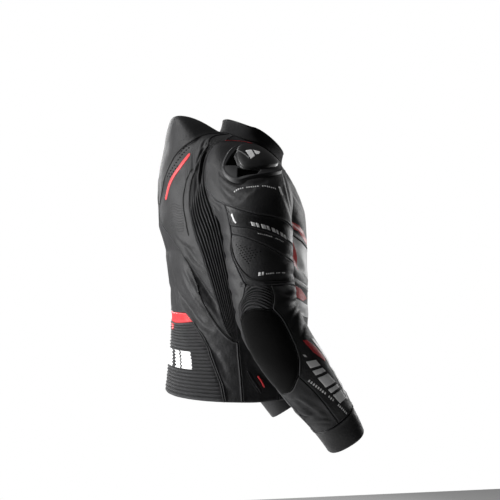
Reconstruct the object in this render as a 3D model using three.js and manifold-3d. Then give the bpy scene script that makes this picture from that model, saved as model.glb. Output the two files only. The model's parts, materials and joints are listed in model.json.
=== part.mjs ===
// A leather motorcycle jacket, held open in the pose in which it is worn: a hollow garment with a speed hump,
// pre-curved sleeves, ribbed stretch panels, shoulder cups and a front zip. Millimetres, +Z up.
// The front faces -Y and +X is the wearer's left. The origin lies between the shoulders, at the base of the neck.
//
// Every cut piece is a wall laid on a chart. The body chart takes degrees round from the centre back (90 at the
// side, 180 at the centre front) and a level, the height at which a ring of the body passes the side. The sleeve
// chart takes degrees round the arm (0 behind, 90 outside, 180 in front, 270 inside) and the run from the armhole
// to the cuff. The collar chart takes degrees as the body does, and the height above the neck seam.
// A piece is the patch between four seam lines, so that neighbours share a seam and keep a small gap along it.
import * as THREE from "three";
import { mergeVertices } from "three/addons/utils/BufferGeometryUtils.js";
import Module from "manifold-3d";

const kernel = await Module();
kernel.setup();

// ---------------------------------------------------------------- driving sizes
const HEM = -556; // level of the hem
const CUFF_SEAM = 544; // run at which the cuff is sewn on
const COLLAR_OPEN = 177; // degrees at which the collar ends at the front
const CUFF_END = 610; // run of the sleeve's end
const CAP_RUN = 100; // run over which the sleeve turns from the armhole down the arm
const COLLAR_HEIGHT = 34;
const LEATHER = 2.0; // wall of a leather piece
const STRETCH = 1.6; // wall of a stretch or knitted piece, below its ribs
const SEAM_GAP = 0.3; // between the edges of two pieces
const LAID_ON = 0.9; // clearance below a piece that lies on a panel
const SHELL_GAP = 0.6; // clearance between the two parts of a shoulder cup
const ZIP_EDGE = 177.6; // degrees at which a front piece meets the zip
const REAR_SEAM = -50; // degrees of the seam behind the arm
const FRONT_SEAM = 210; // degrees of the seam in front of the arm
const TURN = 360;

// Rings of the body: the point at its side, its front point and its back point, and how square it is.
const BODY_RINGS = {
  columns: ["level", "half", "sideY", "sideZ", "frontY", "frontZ", "backY", "backZ", "square"],
  rows: [
    [-556, 188, 2, -556, -150, -550, 160, -553, 0.88],
    [-500, 180, 1, -500, -151, -498, 153, -499, 0.88],
    [-430, 173, 0, -430, -152, -430, 147, -430, 0.88],
    [-340, 176, 2, -340, -152, -343, 150, -336, 0.86],
    [-265, 180, 4, -264, -150, -276, 158, -258, 0.84],
    [-205, 182, 6, -203, -147, -222, 161, -192, 0.82],
    [-150, 180, 9, -146, -145, -172, 160, -128, 0.8],
    [-100, 172, 12, -92, -134, -128, 154, -66, 0.8],
    [-55, 152, 12, -45, -118, -92, 136, -8, 0.82],
    [-22, 118, 6, -16, -106, -66, 100, 22, 0.9],
    [0, 80, -14, 0, -98, -48, 42, 26, 1],
  ],
};
// Rings of the collar, in the same terms.
const COLLAR_RINGS = {
  columns: ["height", "half", "sideY", "sideZ", "frontY", "frontZ", "backY", "backZ", "square"],
  rows: [
    [0, 80, -14, 0, -98, -48, 42, 26, 1],
    [16, 75, -17, 16, -99, -36, 36, 40, 1],
    [34, 74, -20, 33, -103, -20, 33, 56, 1],
  ],
};
// The hump between the shoulders: how far it spreads to each side, and how far it lifts the back outward and up.
const HUMP = {
  columns: ["level", "spread", "outY", "outZ"],
  rows: [
    [-246, 40, 0, 0],
    [-222, 40, 7, 1],
    [-196, 39, 14, 3],
    [-150, 36, 18, 5],
    [-100, 32, 21, 11],
    [-65, 34, 22, 21],
    [-48, 35, 28, 35],
    [-35, 35, 29, 46],
    [-22, 32, 20, 40],
    [-10, 28, 13, 25],
    [0, 24, 0, 0],
  ],
};
const HUMP_FLAT = 2.2; // how flat the hump's crown is, and
const HUMP_SIDE = 1.5; // how softly its sides run out
// The armhole on the body: for each bearing round the sleeve, the level and the degrees back from the side.
const ARMHOLE = {
  columns: ["bearing", "level", "swing"],
  rows: [
    [-90, -220, 0],
    [-68, -202, 12],
    [-38, -158, 24],
    [0, -98, 33],
    [35, -38, 30],
    [60, -13, 20],
    [90, -7, 0],
    [120, -13, -22],
    [145, -38, -30],
    [180, -98, -33],
    [218, -158, -24],
    [248, -202, -12],
  ],
};
// Sections of the sleeve below its cap: the centre, half its size across the arm and from front to back, and the
// degrees by which its outer side is lifted above square to the arm.
const SLEEVE_RINGS = {
  columns: ["run", "out", "y", "z", "across", "fore", "lift"],
  rows: [
    [100, 243, 9, -200, 62, 73, 24],
    [170, 254, 6, -259, 61, 69, 12],
    [240, 263, 0, -321, 59, 66, 4],
    [300, 270, -10, -375, 60, 65, 0],
    [350, 275, -32, -422, 60, 64, 0],
    [420, 276, -72, -482, 57, 61, 0],
    [500, 270, -120, -547, 51, 54, 0],
    [560, 263, -152, -592, 45, 47, 0],
    [610, 258, -176, -630, 40, 43, 0],
  ],
};
const SLEEVE_SQUARE = 0.95;
const CAP = { fore: 0.35, drop: 0.32, underDrop: 0.35, leave: 1.05 }; // how the cap leaves the armhole

// Creases pressed into the leather, from one chart point to another (height below nought is a trough).
const FOLD_COLUMNS = ["a0", "l0", "a1", "l1", "width", "height"];
const BODY_FOLDS = [
  [35, -272, 62, -352, 12, -7],
  [27, -300, 54, -376, 9, 4],
  [16, -335, 44, -384, 11, -6],
  [4, -296, 16, -350, 10, -4],
  [30, -238, 50, -262, 9, -4],
  [118, -240, 140, -270, 12, -5],
  [120, -400, 150, -440, 13, -5],
  [92, -250, 104, -330, 11, -5],
];
const SLEEVE_FOLDS = [
  [-24, 60, 16, 88, 12, -5],
  [110, 262, 160, 236, 12, -5],
  [112, 306, 172, 272, 12, -5],
  [30, 466, 70, 500, 10, -4],
  [206, 290, 262, 270, 12, -6],
  [204, 345, 266, 318, 11, -5],
];

// ---------------------------------------------------------------- reading the tables
const rad = THREE.MathUtils.degToRad;
const lerp = THREE.MathUtils.lerp;
const vec = (x, y, z) => new THREE.Vector3(x, y, z);
const power = (x, p) => Math.sign(x) * Math.abs(x) ** p;

/** The smooth curve through a table's rows, read at x; past either end it runs straight on. */
function through(rows, x) {
  const last = rows.length - 1;
  const rise = (j, c) => (rows[j + 1][c] - rows[j][c]) / (rows[j + 1][0] - rows[j][0]);
  const slope = (j, c) => {
    if (j === 0) return rise(0, c);
    if (j === last) return rise(last - 1, c);
    const w = (rows[j + 1][0] - rows[j][0]) / (rows[j + 1][0] - rows[j - 1][0]);
    return rise(j - 1, c) * w + rise(j, c) * (1 - w);
  };
  const end = x < rows[0][0] ? 0 : x > rows[last][0] ? last : -1;
  if (end >= 0) return rows[end].slice(1).map((y, k) => y + slope(end, k + 1) * (x - rows[end][0]));
  let i = 0;
  while (i < last - 1 && x > rows[i + 1][0]) i++;
  const h = rows[i + 1][0] - rows[i][0];
  const t = (x - rows[i][0]) / h;
  return rows[i].slice(1).map((y, k) => {
    const c = k + 1;
    return (
      (2 * t ** 3 - 3 * t ** 2 + 1) * y +
      (t ** 3 - 2 * t ** 2 + t) * h * slope(i, c) +
      (3 * t ** 2 - 2 * t ** 3) * rows[i + 1][c] +
      (t ** 3 - t ** 2) * h * slope(i + 1, c)
    );
  });
}

/** Height of all the creases at a chart point: each is a bell across its line that fades past the line's ends. */
function creases(folds, degree, a, l) {
  let height = 0;
  for (const [a0, l0, a1, l1, width, deep] of folds) {
    const dx = (a1 - a0) * degree;
    const dl = l1 - l0;
    const px = (a - a0) * degree;
    const pl = l - l0;
    const t = THREE.MathUtils.clamp((px * dx + pl * dl) / (dx * dx + dl * dl), 0, 1);
    const away = Math.hypot(px - t * dx, pl - t * dl) / width;
    height += deep * Math.exp(-away * away) * Math.sin(Math.PI * (0.15 + 0.7 * t));
  }
  return height;
}

// ---------------------------------------------------------------- charts
/** A ring read from a table: a rounded oval whose front and back points may stand lower or higher than its sides. */
function ring(rows, a, level) {
  const [half, sideY, sideZ, frontY, frontZ, backY, backZ, square] = through(rows, level);
  const s = Math.sin(rad(a));
  const c = Math.cos(rad(a));
  const w = Math.abs(c) ** square;
  const [y, z] = c > 0 ? [backY, backZ] : [frontY, frontZ];
  return vec(power(s, square) * half, sideY + (y - sideY) * w, sideZ + (z - sideZ) * w ** 1.3);
}

/** The unit normal of a chart, from its two slopes; `way` is 1 when the second coordinate grows downward. */
function normalOf(at, a, l, low, high, way) {
  const [da, dl] = [0.5, 1];
  const [l0, l1] = [Math.max(low, l - dl), Math.min(high, l + dl)];
  const round = at(a + da, l).sub(at(a - da, l));
  const down = at(a, l1).sub(at(a, l0)).multiplyScalar(way);
  return round.cross(down).normalize();
}

const body = { degree: 2.9 }; // mm to a degree, for lengths along seam lines
body.plain = (a, level) => {
  const p = ring(BODY_RINGS.rows, a, level);
  const [spread, outY, outZ] = through(HUMP.rows, Math.max(level, HUMP.rows[0][0]));
  const crown = Math.max(0, 1 - Math.abs(a / spread) ** HUMP_FLAT) ** HUMP_SIDE;
  return p.add(vec(0, outY * crown, outZ * crown));
};
body.smooth = (a, l) => normalOf(body.plain, a, l, HEM, 0, -1);
body.at = (a, l) =>
  body.plain(a, l).addScaledVector(body.smooth(a, l), creases(BODY_FOLDS, body.degree, Math.abs(a), l));
body.normal = (a, l) => normalOf(body.at, a, l, HEM, 0, -1);

const collar = { degree: 1.3 };
collar.at = (a, h) => ring(COLLAR_RINGS.rows, a, h);
collar.normal = (a, h) => normalOf(collar.at, a, h, 0, COLLAR_HEIGHT, -1);

/** The armhole at a bearing, as a point of the body chart. */
function armholePoint(bearing) {
  const whole = (turn) => ARMHOLE.rows.map(([b, ...rest]) => [b + turn, ...rest]);
  const [level, swing] = through([...whole(-TURN), ...whole(0), ...whole(TURN)], bearing);
  return { a: 90 - swing, l: level, bearing };
}

const sleeve = { degree: 1.15 };
/** The sleeve below its cap: an oval section across the centre line. */
function tube(phi, run) {
  const [out, y, z, across, fore, lift] = through(SLEEVE_RINGS.rows, run);
  const step = 0.5;
  const along = (r) => vec(...through(SLEEVE_RINGS.rows, Math.min(Math.max(r, CAP_RUN), CUFF_END)).slice(0, 3));
  const way = along(run + step).sub(along(run - step)).normalize();
  const u = vec(1, 0, 0).addScaledVector(way, -way.x).normalize();
  const v = u.clone().cross(way);
  u.multiplyScalar(Math.cos(rad(lift))).addScaledVector(way, -Math.sin(rad(lift)));
  const p = vec(out, y, z)
    .addScaledVector(u, across * power(Math.sin(rad(phi)), SLEEVE_SQUARE))
    .addScaledVector(v, fore * power(Math.cos(rad(phi)), SLEEVE_SQUARE));
  return { p, way };
}
sleeve.plain = (phi, run) => {
  if (run >= CAP_RUN) return tube(phi, run).p;
  const { a, l } = armholePoint(phi);
  const start = body.plain(a, l);
  const { p, way } = tube(phi, CAP_RUN);
  const [s, c] = [Math.sin(rad(phi)), Math.cos(rad(phi))];
  const leave = vec(1, CAP.fore * c, -CAP.drop - CAP.underDrop * Math.max(0, -s)).normalize();
  const far = start.distanceTo(p);
  const t = run / CAP_RUN;
  return start
    .multiplyScalar(2 * t ** 3 - 3 * t ** 2 + 1)
    .addScaledVector(leave, (t ** 3 - 2 * t ** 2 + t) * far * CAP.leave)
    .addScaledVector(p, 3 * t ** 2 - 2 * t ** 3)
    .addScaledVector(way, (t ** 3 - t ** 2) * far);
};
sleeve.smooth = (a, l) => normalOf(sleeve.plain, a, l, 0, CUFF_END, 1);
sleeve.at = (a, l) =>
  sleeve.plain(a, l).addScaledVector(sleeve.smooth(a, l), creases(SLEEVE_FOLDS, sleeve.degree, a, l));
sleeve.normal = (a, l) => normalOf(sleeve.at, a, l, 0, CUFF_END, 1);

/** The direction in which both walls end at the armhole: halfway between the two normals, longer where they bend. */
function mitre(bearing) {
  const { a, l } = armholePoint(bearing);
  const n = body.smooth(a, l);
  const m = n.clone().add(sleeve.smooth(bearing, 0)).normalize();
  return m.divideScalar(Math.max(0.6, m.dot(n)));
}

// ---------------------------------------------------------------- seam lines
/** A seam line: the smooth curve through a few chart points, cut into a number of cells of equal length. */
function line(chart, cells, points) {
  let length = 0;
  const rows = points.map(([a, l], i) => {
    if (i) length += Math.hypot((a - points[i - 1][0]) * chart.degree, l - points[i - 1][1]);
    return [length, a, l];
  });
  const at = (t) => {
    const [a, l] = through(rows, length * t);
    return { a, l };
  };
  return [{ cells, at }];
}
/** The stretch of the armhole between two bearings, as a seam line of the body. */
const armhole = (cells, from, to) => [{ cells, at: (t) => armholePoint(lerp(from, to, t)) }];
/** The same stretch as a seam line of the sleeve. */
const capTop = (cells, from, to) => [
  { cells, at: (t) => ({ a: lerp(from, to, t), l: 0, bearing: lerp(from, to, t) }) },
];
const chain = (...lines) => lines.flat();
const mirrored = (one) => one.map(({ cells, at }) => ({ cells, at: (t) => ({ a: -at(t).a, l: at(t).l }) }));
const reversed = (one) => [...one].reverse().map(({ cells, at }) => ({ cells, at: (t) => at(1 - t) }));
const cellsOf = (one) => one.reduce((sum, { cells }) => sum + cells, 0);

/** Reads a chain of lines at a part of its cells, so that neighbours with the same cells share every point. */
function reader(one) {
  const all = cellsOf(one);
  return (t) => {
    let x = t * all;
    let k = 0;
    while (k < one.length - 1 && x >= one[k].cells) x -= one[k++].cells;
    return one[k].at(x / one[k].cells);
  };
}

// ---------------------------------------------------------------- walls
/** The patch between four seam lines: each inner point blends the points across and down from it. */
function between({ top, bottom, left, right }) {
  const [T, B, L, R] = [top, bottom, left, right].map(reader);
  return (u, v) => {
    const [t, b, l, r] = [T(u), B(u), L(v), R(v)];
    const mix = (k) =>
      lerp(t[k], b[k], v) + lerp(l[k], r[k], u) - lerp(lerp(T(0)[k], T(1)[k], u), lerp(B(0)[k], B(1)[k], u), v);
    const bearings = [v === 0 && t, v === 1 && b, u === 0 && l, u === 1 && r].map((edge) => edge && edge.bearing);
    return { a: mix("a"), l: mix("l"), bearing: bearings.find((found) => found !== undefined && found !== false) };
  };
}

/** The band of triangles between two lines of points whose positions along it run from 0 to 1. */
function band(points, [p, s], [q, t]) {
  const triangles = [];
  let [i, j] = [0, 0];
  while (i < p.length - 1 || j < q.length - 1) {
    const [endP, endQ] = [i === p.length - 1, j === q.length - 1];
    const level = !endP && !endQ && Math.abs(s[i + 1] + s[i] - t[j + 1] - t[j]) < 1e-9;
    const shorter = () =>
      points[p[i + 1]].distanceToSquared(points[q[j]]) <= points[p[i]].distanceToSquared(points[q[j + 1]]);
    const first = endQ || (!endP && (level ? shorter() : s[i + 1] + s[i] < t[j + 1] + t[j]));
    if (first) triangles.push([p[i], q[j], p[++i]]);
    else triangles.push([p[i], q[j], q[++j]]);
  }
  return triangles;
}
const evenly = (n) => Array.from({ length: n + 1 }, (_, k) => k / n);

/**
 * A closed wall. Its face is a grid of cells and its back has fewer cells inside; the rim joins their edges.
 * Where a neighbour has fewer cells along a seam, `every` says how many of this wall's make one of them: the points
 * between lie straight between its points, and the back has none of them. Inside, the back has `backColumns` and
 * `backRows` cells if they are given; below row `sparse` it has every second row.
 */
function wall(chart, place, cells, options) {
  const { every = {}, outer = () => 0, inner = () => -LEATHER, gap = SEAM_GAP } = options;
  const { backAsFine = false, backColumns = cells[0] - 2, backRows, sparse = Infinity } = options;
  const [nu, nv] = cells;
  const many = { top: 1, bottom: 1, left: 1, right: 1, ...every };
  const points = [];
  const spotAt = (u, v) => {
    const spot = place(u, v);
    const n = spot.bearing === undefined ? chart.normal(spot.a, spot.l) : mitre(spot.bearing);
    return { u, v, ...spot, p: chart.at(spot.a, spot.l), n };
  };
  const spots = evenly(nv).map((v) => evenly(nu).map((u) => spotAt(u, v)));
  const straighten = (count, k, at) => {
    for (let m = 0; m <= count; m++) {
      const low = m - (m % k);
      if (m === low) continue;
      const [one, two, t] = [at(low), at(low + k), (m - low) / k];
      at(m).p.copy(one.p).lerp(two.p, t);
      at(m).n.copy(one.n).lerp(two.n, t);
    }
  };
  straighten(nu, many.top, (i) => spots[0][i]);
  straighten(nu, many.bottom, (i) => spots[nv][i]);
  straighten(nv, many.left, (j) => spots[j][0]);
  straighten(nv, many.right, (j) => spots[j][nu]);
  // Each edge is drawn in by half the gap, square to itself and in the surface.
  const drawn = (i, j) => {
    const shift = vec(0, 0, 0);
    const { p, n } = spots[j][i];
    const pull = (from, to, toward) => {
      const square = n.clone().cross(to.p.clone().sub(from.p)).normalize();
      if (square.dot(toward.p.clone().sub(p)) < 0) square.negate();
      shift.addScaledVector(square, gap / 2);
    };
    const [i0, i1] = [Math.max(0, i - 1), Math.min(nu, i + 1)];
    const [j0, j1] = [Math.max(0, j - 1), Math.min(nv, j + 1)];
    if (j === 0) pull(spots[0][i0], spots[0][i1], spots[1][i]);
    if (j === nv) pull(spots[nv][i0], spots[nv][i1], spots[nv - 1][i]);
    if (i === 0) pull(spots[j0][0], spots[j1][0], spots[j][1]);
    if (i === nu) pull(spots[j0][nu], spots[j1][nu], spots[j][nu - 1]);
    return shift;
  };
  const made = new Map();
  const put = (i, j, name, height) => {
    const key = `${name} ${i} ${j}`;
    if (!made.has(key)) {
      const spot = spots[j][i];
      points.push(spot.p.clone().addScaledVector(spot.n, height(spot)).add(drawn(i, j)));
      made.set(key, points.length - 1);
    }
    return made.get(key);
  };
  const triangles = [];
  const skin = (columns, rows, name, height, flip) => {
    const grid = rows.map((j) => columns.map((i) => put(i, j, name, height)));
    for (let j = 0; j + 1 < rows.length; j++)
      for (let i = 0; i + 1 < columns.length; i++) {
        const [a, b, c, d] = [grid[j][i], grid[j][i + 1], grid[j + 1][i + 1], grid[j + 1][i]];
        const shorter = points[a].distanceToSquared(points[c]) <= points[b].distanceToSquared(points[d]);
        const pair = shorter ? [[a, b, c], [a, c, d]] : [[a, b, d], [b, c, d]];
        for (const [p, q, r] of pair) triangles.push(flip ? [p, r, q] : [p, q, r]);
      }
  };
  const steps = (from, to, count) => evenly(count).map((t) => Math.round(lerp(from, to, t)));
  /** Once round a rectangle of the grid, a side at a time: its points and their positions along the side. */
  const round = ({ top, bottom, left, right }, name, height) => {
    const side = (list, spot) => {
      const far = (k) => (k - list[0]) / (list.at(-1) - list[0]);
      return [list.map((k) => put(...spot(k), name, height)), list.map(far)];
    };
    const [i0, i1, j0, j1] = [top[0], top.at(-1), left[0], left.at(-1)];
    return [
      side(top, (i) => [i, j0]),
      side(right, (j) => [i1, j]),
      side([...bottom].reverse(), (i) => [i, j1]),
      side([...left].reverse(), (j) => [i0, j]),
    ];
  };
  const sides = (columns, rows) => ({ top: columns, bottom: columns, left: rows, right: rows });
  const fine = [steps(0, nu, nu), steps(0, nv, nv)];
  const edge = {
    top: steps(0, nu, nu / many.top),
    bottom: steps(0, nu, nu / many.bottom),
    left: steps(0, nv, nv / many.left),
    right: steps(0, nv, nv / many.right),
  };
  const kept = (j) => j <= sparse || (j - sparse) % 2 === 0 || j === nv - 1;
  const rows = backRows ? steps(1, nv - 1, backRows) : steps(1, nv - 1, nv - 2).filter(kept);
  const inside = [steps(1, nu - 1, backColumns), rows];
  skin(...fine, "face", outer, false);
  const join = (one, two) => {
    for (let k = 0; k < 4; k++) triangles.push(...band(points, one[k], two[k]));
  };
  join(round(sides(...fine), "face", outer), round(edge, "back", inner));
  if (backAsFine || nu < 3 || nv < 3) {
    skin(...fine, "back", inner, true);
    return solid(points, triangles);
  }
  join(round(edge, "back", inner), round(sides(...inside), "back", inner));
  skin(...inside, "back", inner, true);
  return solid(points, triangles);
}

/** A geometry from points and triangles, turned so that its faces point out. */
function solid(points, triangles) {
  let volume = 0;
  for (const [a, b, c] of triangles) volume += points[a].dot(points[b].clone().cross(points[c]));
  const faces = volume < 0 ? triangles.map(([a, b, c]) => [a, c, b]) : triangles;
  return new THREE.BufferGeometry()
    .setAttribute("position", new THREE.Float32BufferAttribute(points.flatMap((p) => p.toArray()), 3))
    .setIndex(faces.flat());
}

/** The same geometry on the wearer's other side. */
function otherSide(geometry) {
  const turned = geometry.clone().scale(-1, 1, 1);
  const index = Array.from(turned.index.array);
  for (let i = 0; i < index.length; i += 3) [index[i], index[i + 1]] = [index[i + 1], index[i]];
  return turned.setIndex(index);
}

// ---------------------------------------------------------------- materials
const paint = (color, roughness, metalness = 0) => new THREE.MeshStandardMaterial({ color, roughness, metalness });
const BLACK_LEATHER = paint(0x2c2c2e, 0.5);
const RED_LEATHER = paint(0xc8232b, 0.5);
const WHITE_LEATHER = paint(0xe4e4e4, 0.5);
const STRETCH_CLOTH = paint(0x1c1c1e, 0.9);
const PILE = paint(0x121213, 0.95);
const RUBBER = paint(0x202022, 0.7);
const SHELL = paint(0x151517, 0.2);
const COLLAR_CLOTH = paint(0x1a1a1c, 0.85);
const ZIP_METAL = paint(0x3a3a3d, 0.35, 0.8);

const group = new THREE.Group();
group.name = "motorcycle_jacket";
function add(name, geometry, material) {
  const mesh = new THREE.Mesh(geometry, material);
  mesh.name = name;
  group.add(mesh);
}
/** Adds a piece on the wearer's left and its mirror image on the right. */
function addPair(name, geometry, material) {
  add(`${name}_L`, geometry, material);
  add(`${name}_R`, otherSide(geometry), material);
}

// ---------------------------------------------------------------- body pieces
const b = (cells, ...points) => line(body, cells, points);
const NECK = { hump: 24, back: 35, gusset: 50, chest: 130 }; // degrees at which pieces meet the neck seam
const ARM = { gussetTop: 50, gussetEnd: -30, chestTop: 130, chestEnd: 210 }; // bearings at which they meet the armhole
const HUMP_END = -160; // level at which the hump's own panel ends
const HUMP_TIP = 1.5; // half the width of that end, in degrees
const BACK_SEAM = -186; // level of the seam across the back, at the centre
const BAND_TOP = -376;
const BAND_TURN = [28, -374]; // where the red band's top turns down to its end
const BAND_END = [37, -391];
const GUSSET_FOOT = [75, -427];
const GUSSET_CORNER = [79, -430];
const HIP = 83; // degrees at which the strip over the hip ends at the hem
const RIBS_END = 70; // the same for the waist ribs
const SIDE_END = 107; // the same for the side piece
const CHEST_SEAM = { side: [115, -190], middle: [148, -216], zip: -226 };
const INSERT_SEAM = { side: [113, -290], middle: [148, -316], zip: -326 };
const armSpot = (bearing) => {
  const { a, l } = armholePoint(bearing);
  return [a, l];
};
const neck = (cells, from, to) => b(cells, [from, 0], [to, 0]);
const zipSide = (cells, from, to) => b(cells, [ZIP_EDGE, from], [ZIP_EDGE, to]);

const humpEdge = b(14, [NECK.hump, 0], [31, -16], [33.5, -34], [31, -48], [27, -60], [20, -80], [14, -105],
  [6, -140], [HUMP_TIP, HUMP_END]);
const humpFoot = b(1, [HUMP_TIP, HUMP_END], [0, HUMP_END]);
const centreBack = b(3, [0, HUMP_END], [0, BACK_SEAM]);
const gussetBack = b(18, [NECK.back, 0], [47, -26], [52, -46], [49, -72], [44, -100], [40, -135], [41, -165],
  [45, -205], [52, -250], [58, -300], [63, -350], [69, -400], GUSSET_FOOT);
const backSeam = b(9, [0, BACK_SEAM], [17, -220], [33, -262], [41, -301], [50, -349], [58, -382], [68, -412],
  GUSSET_FOOT);
const gussetNeck = b(2, [NECK.gusset, 0], armSpot(ARM.gussetTop));
const sideBack = b(8, armSpot(ARM.gussetEnd), [67, -175], [70, -211], [74, -280], [77, -340], [78.5, -400],
  GUSSET_CORNER);
const gussetFront = chain(gussetNeck, armhole(8, ARM.gussetTop, ARM.gussetEnd), sideBack);
const gussetFoot = b(1, GUSSET_FOOT, GUSSET_CORNER);
const hipFront = b(4, GUSSET_CORNER, [80, -463], [81.5, -502], [HIP, HEM]);
const hipBack = b(10, BAND_END, [42, -403], [50, -427], [56, -457], [62, -490], [67, -523], [RIBS_END, HEM]);
const bandTop = b(3, [0, BAND_TOP], BAND_TURN);
const bandSlant = b(1, BAND_TURN, BAND_END);
const bandFoot = b(3, [0, -398], [18, -396], BAND_END);
const chestNeck = b(2, [NECK.chest, 0], armSpot(ARM.chestTop));
const sideFront = {
  chest: b(2, armSpot(ARM.chestEnd), CHEST_SEAM.side),
  insert: b(3, CHEST_SEAM.side, [114, -240], INSERT_SEAM.side),
  front: b(7, INSERT_SEAM.side, [109, -430], [SIDE_END, HEM]),
};
const chestSeam = b(7, CHEST_SEAM.side, CHEST_SEAM.middle, [ZIP_EDGE, CHEST_SEAM.zip]);
const insertSeam = b(7, INSERT_SEAM.side, INSERT_SEAM.middle, [ZIP_EDGE, INSERT_SEAM.zip]);
const zipEdge = {
  chest: zipSide(12, 0, CHEST_SEAM.zip),
  insert: zipSide(3, CHEST_SEAM.zip, INSERT_SEAM.zip),
  front: zipSide(7, INSERT_SEAM.zip, HEM),
};

/** Ribs raised on a wall's face: round ridges along or across it that run out at their ends. */
const ribs = (count, height, across) => (spot) => {
  const [w, ends] = across ? [spot.v, spot.u] : [spot.u, spot.v];
  const fade = Math.min(1, Math.min(ends, 1 - ends) * 12);
  return height * Math.abs(Math.sin(Math.PI * w * count)) * fade;
};
const thin = () => -STRETCH;

const humpPlace = between({
  top: neck(10, -NECK.hump, NECK.hump),
  bottom: b(10, [-HUMP_TIP, HUMP_END], [HUMP_TIP, HUMP_END]),
  left: mirrored(humpEdge),
  right: humpEdge,
});
add("back_hump", wall(body, humpPlace, [10, 14], {}), BLACK_LEATHER);

const backPlace = between({
  top: neck(9, NECK.hump, NECK.back),
  bottom: backSeam,
  left: chain(humpEdge, humpFoot, centreBack),
  right: gussetBack,
});
addPair("back", wall(body, backPlace, [9, 18], { sparse: 12 }), BLACK_LEATHER);

const GUSSET_RIBS = 9;
const gussetPlace = between({
  top: neck(3, NECK.back, NECK.gusset),
  bottom: gussetFoot,
  left: gussetBack,
  right: gussetFront,
});
addPair(
  "back_gusset",
  wall(body, gussetPlace, [2 * GUSSET_RIBS, 18], {
    every: { top: 6, bottom: 2 * GUSSET_RIBS },
    backColumns: 3,
    outer: ribs(GUSSET_RIBS, 3, false),
    inner: thin,
  }),
  STRETCH_CLOTH,
);

const lowerBackPlace = between({
  top: chain(backSeam, gussetFoot, hipFront),
  bottom: chain(bandTop, bandSlant, hipBack),
  left: b(6, [0, BACK_SEAM], [0, BAND_TOP]),
  right: b(6, [HIP, HEM], [RIBS_END, HEM]),
});
addPair("lower_back", wall(body, lowerBackPlace, [14, 6], { sparse: 1 }), BLACK_LEATHER);

const bandPlace = between({
  top: chain(mirrored(reversed(bandTop)), bandTop),
  bottom: chain(mirrored(reversed(bandFoot)), bandFoot),
  left: mirrored(bandSlant),
  right: bandSlant,
});
add("back_band", wall(body, bandPlace, [6, 2], {}), RED_LEATHER);

const WAIST_RIBS = 20;
const waistPlace = between({
  top: chain(mirrored(reversed(bandFoot)), bandFoot),
  bottom: b(12, [-RIBS_END, HEM], [RIBS_END, HEM]),
  left: mirrored(hipBack),
  right: hipBack,
});
add(
  "waist_ribs",
  wall(body, waistPlace, [12, 2 * WAIST_RIBS], {
    every: { top: 2, left: 4, right: 4 },
    backRows: 6,
    outer: ribs(WAIST_RIBS, 2.4, true),
    inner: thin,
  }),
  STRETCH_CLOTH,
);

const sidePlace = between({
  top: armhole(12, ARM.gussetEnd, ARM.chestEnd - TURN),
  bottom: b(6, [HIP, HEM], [SIDE_END, HEM]),
  left: chain(sideBack, hipFront),
  right: chain(...Object.values(sideFront)),
});
addPair("side", wall(body, sidePlace, [12, 12], { sparse: 2 }), BLACK_LEATHER);

const yokePlace = between({
  top: neck(8, NECK.gusset, NECK.chest),
  bottom: armhole(8, ARM.gussetTop, ARM.chestTop),
  left: gussetNeck,
  right: chestNeck,
});
addPair("yoke", wall(body, yokePlace, [8, 2], {}), BLACK_LEATHER);

const chestPlace = between({
  top: neck(7, NECK.chest, ZIP_EDGE),
  bottom: chestSeam,
  left: chain(chestNeck, armhole(8, ARM.chestTop, ARM.chestEnd), sideFront.chest),
  right: zipEdge.chest,
});
addPair("chest", wall(body, chestPlace, [7, 12], { sparse: 7 }), BLACK_LEATHER);

const insertPlace = between({ top: chestSeam, bottom: insertSeam, left: sideFront.insert, right: zipEdge.insert });
addPair("chest_insert", wall(body, insertPlace, [7, 3], {}), WHITE_LEATHER);

const frontPlace = between({
  top: insertSeam,
  bottom: b(7, [SIDE_END, HEM], [ZIP_EDGE, HEM]),
  left: sideFront.front,
  right: zipEdge.front,
});
addPair("front", wall(body, frontPlace, [7, 7], { sparse: 1 }), BLACK_LEATHER);

const collarEdge = (height) => line(collar, 32, [[-COLLAR_OPEN, height], [COLLAR_OPEN, height]]);
const collarEnd = (a) => line(collar, 2, [[a, COLLAR_HEIGHT], [a, 0]]);
const collarPlace = between({
  top: collarEdge(COLLAR_HEIGHT),
  bottom: collarEdge(0),
  left: collarEnd(-COLLAR_OPEN),
  right: collarEnd(COLLAR_OPEN),
});
add("collar", wall(collar, collarPlace, [32, 2], {}), COLLAR_CLOTH);

// ---------------------------------------------------------------- sleeve pieces
const s = (cells, ...points) => line(sleeve, cells, points);
const SHOULDER_REAR = -10; // bearing at which the shoulder piece begins
// Points at which the seams of the sleeve meet, going down its rear seam and its elbow seam.
const REAR = {
  shoulder: [27, 80],
  band: [34, 104],
  strip: [34, 124],
  arm: [50, 228],
  elbow: [21, 288],
  patch: [14, 432],
  cuff: [14, CUFF_SEAM],
};
const ELBOW = { top: [93, 238], ribs: [90, 284], patch: [76, 414], cuff: [88, CUFF_SEAM] };
const FORE = { shoulder: 106, band: 146, strip: 186, arm: 238 }; // runs at which seams meet the front seam
const front = (cells, from, to) => s(cells, [FRONT_SEAM, from], [FRONT_SEAM, to]);

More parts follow.
